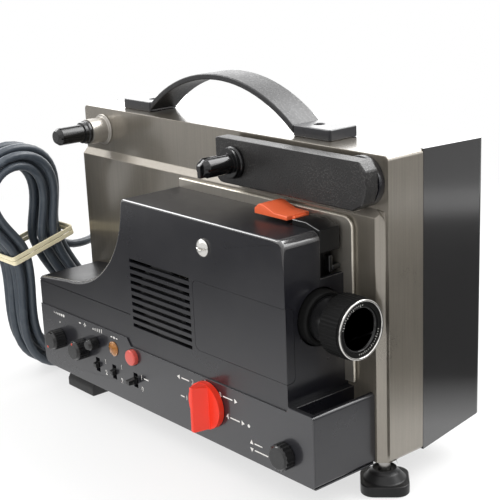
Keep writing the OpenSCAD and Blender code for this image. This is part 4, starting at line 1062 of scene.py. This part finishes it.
@dataclass
class FrontHousing:
    """Black moulded housing over the mechanism, with its grille, lamp door and screw."""

    front: float = -52.5
    end: float = 270.6
    base_top: float = 44.0
    edge: float = 1.7
    rim: float = 0.6
    sharp: float = 0.4
    grille: tuple[float, float] = (120.0, 186.0)
    slots: tuple[float, float] = (54.0, 105.0)
    door_x: float = 186.0
    door_z: tuple[float, float] = (56.0, 103.0)
    screw_at: tuple[float, float] = (200.2, 124.4)
    screw_room: float = 9.0
    strip_end: tuple[float, float] = (121.0, 65.5)
    shoulder_at: tuple[float, float] = (262.0, 134.0)
    upright_top: float = 135.0
    notch_at: Point = (246.0, -25.2, 113.0)
    panel_top: float = 47.0
    near: float = 0.2
    facing: float = 0.9
    trough_front: float = -51.0
    notch_back: float = -8.0

    def outer(self, middle: Vector, first: Vector, second: Vector) -> bool:
        """Say if an edge is on the housing's outer front outline."""
        if abs(middle.y - self.front) > self.near or max(-first.y, -second.y) < self.facing:
            return False
        in_grille = self.grille[0] < middle.x < self.grille[1] and self.slots[0] < middle.z < self.slots[1]
        by_door = middle.x > self.door_x and self.door_z[0] < middle.z < self.door_z[1]
        screw = (Vector((middle.x, middle.z)) - Vector(self.screw_at)).length < self.screw_room
        strip = middle.x < self.strip_end[0] and middle.z < self.strip_end[1]
        upright = abs(middle.x - self.end) < 0.3 and middle.z < self.upright_top
        return not (in_grille or by_door or screw or strip or upright) and middle.z > self.panel_top

    def rims(self, middle: Vector, first: Vector, second: Vector) -> bool:
        """Say if an edge is on a rim of the film trough or of the gate's notch."""
        on_top = abs(middle.z - self.base_top) < self.near
        trough = on_top and middle.x > self.end + 1 and middle.y > self.trough_front
        x, y, z = self.notch_at
        notch = middle.x > x and y < middle.y < self.notch_back and middle.z > z
        return trough or notch

    def upward(self, middle: Vector, normal: Vector) -> bool:
        """Say if a face lies on top, where dust settles."""
        return normal.z > 0.97 and middle.z > self.panel_top - 4

    def shoulder(self, middle: Vector, normal: Vector) -> bool:
        """Say if a face is on the rounded shoulder at the lens end."""
        x, z = self.shoulder_at
        return middle.x > x and middle.z > z and normal.x > 0.1 and normal.z > 0.1

    def corner(self, middle: Vector, first: Vector, second: Vector) -> bool:
        """Say if an edge is on the upright corner at the lens end, of the housing or of the lamp door."""
        on_corner = abs(middle.y - self.front) < self.near and abs(middle.x - self.end) < self.near
        return on_corner and middle.z < self.upright_top

    def build(self, shop: Workshop) -> None:
        """Dress the housing, door and screw."""
        housing = shop.copy("front_housing", Finishes.BLACK, Finishes.WORN_HIGHLIGHT, Finishes.DUSTY)
        # Material 1 on the outer edge rounding and on the trough and notch rims is the lighter edge finish: a
        # painted highlight
        Bench.bevel_where(housing, self.outer, self.edge, 3, 1, clamp=False)
        Bench.bevel_where(housing, self.rims, self.rim, 2, 1)
        Bench.bevel_where(housing, self.corner, self.sharp, 2)
        Bench.repaint(housing, self.upward, 2)
        # Painted highlight: the rounded shoulder at the lens end takes the lighter edge finish
        Bench.repaint(housing, self.shoulder, 1)
        shop.stand_in(housing, "front_housing")
        door = shop.copy("lamp_door", Finishes.BLACK)
        Bench.bevel_where(door, self.corner, self.sharp, 2)
        Bench.soften(door, 0.2, 2, 40.0)
        shop.stand_in(door, "lamp_door")
        shop.dressed("housing_screw", Finishes.NICKEL, 0.3, 3)


@dataclass
class PanelMarks:
    """Generic printed marks on the control panel: dots, bars, arrows and numerals."""

    face: float = -53.5
    thickness: float = 0.06
    dot_sides: int = 20
    arrow_size: float = 1.8
    numeral_size: float = 4.6
    numeral_swell: float = 0.16
    pieces: list[bpy.types.Object] = field(default_factory=list)

    def dot(self, x: float, z: float, radius: float) -> None:
        """Print a round dot."""
        self.pieces.append(Bench.rod("mark", (x, self.face, z), radius, self.thickness, self.dot_sides))

    def bar(self, x0: float, x1: float, z: float, height: float = 0.8) -> None:
        """Print a level bar."""
        half = self.thickness / 2
        low, high = (x0, self.face - half, z - height / 2), (x1, self.face + half, z + height / 2)
        self.pieces.append(Bench.block("mark", low, high))

    def post(self, x: float, z0: float, z1: float, width: float = 0.8) -> None:
        """Print an upright bar."""
        self.bar(x - width / 2, x + width / 2, (z0 + z1) / 2, z1 - z0)

    def arrow(self, x: float, z: float, angle: float) -> None:
        """Print a three-cornered arrow head that points at an angle from the right."""
        place = (x, self.face, z)
        head = Bench.rod("mark", place, self.arrow_size, self.thickness, 3)
        Bench.turn(head, math.radians(angle - 90), "Y", place)
        self.pieces.append(head)

    def numeral(self, x: float, z: float, text: str) -> None:
        """Print a plain numeral with its middle at a place."""
        bpy.ops.object.select_all(action="DESELECT")
        bpy.ops.object.text_add(location=at(x, self.face + self.thickness / 2, z), rotation=FRONT)
        words = bpy.context.object
        words.data.body = text
        words.data.size = self.numeral_size * MM
        words.data.align_x = "CENTER"
        words.data.align_y = "CENTER"
        words.data.extrude = self.thickness / 2 * MM
        words.data.offset = self.numeral_swell * MM
        words.data.resolution_u = 3
        bpy.ops.object.convert(target="MESH")
        self.pieces.append(Bench.settle(bpy.context.object, "mark"))

    def build(self, shop: Workshop) -> None:
        """Print all marks and join them."""
        for k in range(6):
            self.dot(22.8 + 2.5 * k, 42.7, 0.45 + 0.13 * k)
        self.dot(29.6, 36.7, 0.55)
        self.bar(55.4, 57.6, 42.6)
        self.bar(61.2, 64.2, 42.6)
        self.post(62.7, 41.1, 44.1)
        for k in range(5):
            self.post(73.0 + 2.6 * k, 41.6, 43.0 + 0.35 * k)
        self.dot(98.4, 42.2, 0.9)
        self.bar(94.3, 96.4, 42.2, 0.7)
        self.bar(100.4, 102.5, 42.2, 0.7)
        for x, z, text in ((85.7, 21.6, "1"), (85.9, 13.6, "2"), (104.8, 22.6, "1"), (104.6, 12.8, "2"),
                           (128.0, 21.9, "1"), (128.0, 13.4, "0"), (183.4, 34.2, "2"), (176.6, 21.8, "1"),
                           (210.6, 33.8, "3"), (216.8, 21.7, "4")):
            self.numeral(x, z, text)
        for x0, x1, z in ((130.6, 135.6, 21.7), (172.2, 180.0, 34.2), (170.4, 174.2, 21.8),
                          (213.2, 222.0, 33.8), (219.4, 228.0, 21.7), (241.0, 248.0, 11.7),
                          (241.0, 253.0, 7.4)):
            self.bar(x0, x1, z)
        for x, z, angle in ((169.4, 34.2, 180), (224.8, 33.8, 0), (230.8, 21.7, 0), (238.4, 11.7, 90),
                            (238.4, 7.4, 270)):
            self.arrow(x, z, angle)
        self.post(196.2, 36.6, 39.6)
        self.dot(236.4, 21.7, 1.1)
        marks = Bench.join(self.pieces, "panel_marks")
        shop.fit(marks, "control_panel", Finishes.WHITE)


@dataclass
class ControlPanel:
    """Control panel with its knobs, switches, lamp and button."""

    fine_edge: float = 0.25
    blade_foot: float = -58.4
    blade_edge: float = 0.6
    rim_edge: float = 0.15
    index_r: float = 0.8
    index_deep: float = 0.5

    def index(self, shop: Workshop, knob: str, x: float, z: float) -> None:
        """Set a small red index dot at a place on a knob's face."""
        front = min(in_case(vertex.co).y for vertex in shop.nodes[knob].data.vertices)
        mark = Bench.rod(knob + "_index", (x, front + 0.1, z), self.index_r, self.index_deep, 24)
        Bench.soften(mark, 0.12, 2)
        shop.fit(mark, knob, Finishes.INK_RED)

    def blade(self, middle: Vector, first: Vector, second: Vector) -> bool:
        """Say if an edge is on the selector's blade, in front of its disc."""
        return middle.y < self.blade_foot

    def selector(self, shop: Workshop) -> None:
        """Dress the selector, whose rim beside the blade is too narrow for the blade's rounding."""
        selector = shop.copy("selector_knob", Finishes.RED)
        Bench.bevel_where(selector, self.blade, self.blade_edge)
        Bench.soften(selector, self.rim_edge, 2, 50.0)
        shop.stand_in(selector, "selector_knob")

    def build(self, shop: Workshop) -> None:
        """Dress the panel and its controls."""
        shop.dressed("control_panel", Finishes.FASCIA, self.fine_edge)
        for knob in ("volume_knob", "tone_knob", "trim_knob", "frame_knob"):
            shop.dressed(knob, Finishes.GLOSS, self.fine_edge)
        self.index(shop, "volume_knob", 27.4, 20.4)
        self.index(shop, "tone_knob", 60.0, 30.2)
        self.selector(shop)
        shop.dressed("record_button", Finishes.BUTTON, 0.5, 3)
        shop.dressed("indicator_lamp", Finishes.AMBER, 0.4, 3)
        for switch in ("input_switch", "track_switch", "power_switch"):
            shop.dressed(switch, Finishes.GLOSS, self.fine_edge)
        shop.paint("control_pots", Finishes.STEEL)
        shop.paint("switch_bodies", Finishes.DARK)
        PanelMarks().build(shop)


class Handle:
    """Arched carrying strap on two end blocks."""

    def build(self, shop: Workshop) -> None:
        """Dress the strap, blocks and screws."""
        shop.dressed("handle_strap", Finishes.STRAP, 0.9, 3)
        shop.dressed("handle_blocks", Finishes.BLACK, 0.8, 3)
        shop.dressed("handle_screws", Finishes.STEEL, 0.2)


@dataclass
class ReelSupports:
    """Take-up spindle on its collar, and the swinging supply arm with its spindle."""

    free_end: float = 270.0

    def facet(self, middle: Vector, normal: Vector) -> bool:
        """Say if a face is on the glossy facet at the arm's free edge, painted with the lighter edge finish
        as a highlight.
        """
        return middle.x > self.free_end and normal.x > 0.2 and normal.y < -0.2

    def build(self, shop: Workshop) -> None:
        """Dress the arm, hub, collar, spindles and clip."""
        arm = shop.copy("supply_arm", Finishes.GRAIN, Finishes.WORN_HIGHLIGHT)
        # Painted highlight on the facet at the arm's free end
        Bench.repaint(arm, self.facet, 1)
        Bench.soften(arm, 1.0, 3)
        shop.stand_in(arm, "supply_arm")
        shop.dressed("arm_hub", Finishes.BLACK, 0.4)
        shop.dressed("take_up_collar", Finishes.COLLAR, 0.4)
        for node in ("take_up_spindle", "supply_spindle", "reel_clip"):
            shop.dressed(node, Finishes.GLOSS, 0.3)


@dataclass
class LensUnit:
    """Projection lens with its holder, focus ring and bright rim."""

    axis_y: float = -26.0
    axis_z: float = 91.3
    face: float = 303.0
    ticks: int = 60
    tick_r: float = 14.6
    tick_half: float = 0.16
    tick_deep: float = 0.05
    tick_short: float = 0.9
    tick_tall: float = 1.5
    tall_every: int = 4
    bare_from: float = math.pi / 5

    def scale(self, shop: Workshop) -> None:
        """Engrave a ring of ticks on the front of the focus ring."""
        marks = []
        for k in range(self.ticks):
            turn = 2 * math.pi * k / self.ticks
            if math.sin(turn + self.bare_from) ** 2 > 0.5:
                continue
            tall = self.tick_short if k % self.tall_every else self.tick_tall
            middle = Vector((self.face, self.axis_y, self.axis_z + self.tick_r))
            low = middle - Vector((self.tick_deep, self.tick_half, tall))
            tick = Bench.block("lens_tick", low, middle + Vector((self.tick_deep, self.tick_half, 0.0)))
            Bench.turn(tick, turn, "X", (self.face, self.axis_y, self.axis_z))
            marks.append(tick)
        ring = Bench.join(marks, "lens_scale")
        shop.fit(ring, "focus_ring", Finishes.SCALE)

    def build(self, shop: Workshop) -> None:
        """Dress the lens."""
        shop.dressed("lens_holder", Finishes.RING, 0.4)
        shop.dressed("lens_barrel", Finishes.GLOSS, 0.3)
        shop.dressed("focus_ring", Finishes.RING, 0.2)
        shop.dressed("lens_rim", Finishes.NICKEL, 0.25, 3)
        shop.paint("lens_glass", Finishes.GLASS)
        self.scale(shop)


@dataclass
class FilmGate:
    """Film gate block with its lid, a film guide and the red threading lever."""

    guide_low: Point = (264.0, -15.6, 114.4)
    post_size: Point = (4.6, 3.0, 10.4)
    shoe_from: Point = (0.0, 2.0, 1.2)
    shoe_to: Point = (5.2, 8.6, 4.4)
    lid_low: float = 139.0

    def lid(self, middle: Vector, normal: Vector) -> bool:
        """Say if a face is on the front edge of the gate's lid, painted with the lighter edge finish as a
        highlight.
        """
        return middle.z > self.lid_low and normal.y < -0.25 and normal.z > 0.25

    def guide(self, shop: Workshop) -> None:
        """Make the small film guide in the notch: a post with a rounded shoe."""
        low = Vector(self.guide_low)
        post = Bench.block("gate_guide", low, low + Vector(self.post_size))
        shoe = Bench.block("gate_shoe", low + Vector(self.shoe_from), low + Vector(self.shoe_to))
        for part in (post, shoe):
            Bench.soften(part, 0.9, 3)
        piece = Bench.join([post, shoe], "gate_guide")
        shop.fit(piece, "gate_block", Finishes.GLOSS)

    def build(self, shop: Workshop) -> None:
        """Dress the gate and lever."""
        gate = shop.copy("gate_block", Finishes.DULL, Finishes.WORN_HIGHLIGHT)
        Bench.soften(gate, 0.45, 3)
        # Painted highlight along the front edge of the lid
        Bench.repaint(gate, self.lid, 1)
        shop.stand_in(gate, "gate_block")
        shop.dressed("threading_lever", Finishes.LEVER, 0.5, 3)
        self.guide(shop)


class Feet:
    """Fixed feet and the screw foot under the lens."""

    def build(self, shop: Workshop) -> None:
        """Dress the feet."""
        shop.dressed("fixed_feet", Finishes.RUBBER, 0.8, 3)
        shop.dressed("foot_bush", Finishes.BRASS, 0.3)
        shop.dressed("foot_stud", Finishes.STEEL, 0.3)
        shop.dressed("foot_knob", Finishes.DULL, 0.8, 3)


@dataclass
class Drive:
    """Motor, optics, sound and electrical pieces inside the case."""

    finishes: dict[str, Finish] = field(default_factory=lambda: {
        "speaker": Finishes.DARK, "amp_board": Finishes.BOARD, "transformer": Finishes.STEEL,
        "motor": Finishes.STEEL, "motor_pulley": Finishes.BRASS, "drive_belt": Finishes.RUBBER,
        "shutter": Finishes.DARK, "lamp": Finishes.GLASS, "lamp_holder": Finishes.CERAMIC,
        "sprocket": Finishes.CERAMIC, "sound_head": Finishes.NICKEL, "capstan": Finishes.STEEL})

    def build(self, shop: Workshop) -> None:
        """Give each inner piece its finish."""
        for node, finish in self.finishes.items():
            shop.paint(node, finish)


def main() -> None:
    """Load the frame and build camera, cord, stage and every sub-assembly in order."""
    logging.basicConfig(level=logging.INFO, format="%(message)s")
    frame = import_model()
    shop = Workshop(frame)
    PhotoCamera().build()
    MainsCord().build(shop)
    Stage().build()
    assemblies = (CaseShell(), FrontHousing(), ControlPanel(), Handle(), ReelSupports(), LensUnit(),
                  FilmGate(), Feet(), Drive())
    for assembly in assemblies:
        assembly.build(shop)
        LOG.info("built %s", type(assembly).__name__)


if __name__ == "__main__":
    main()
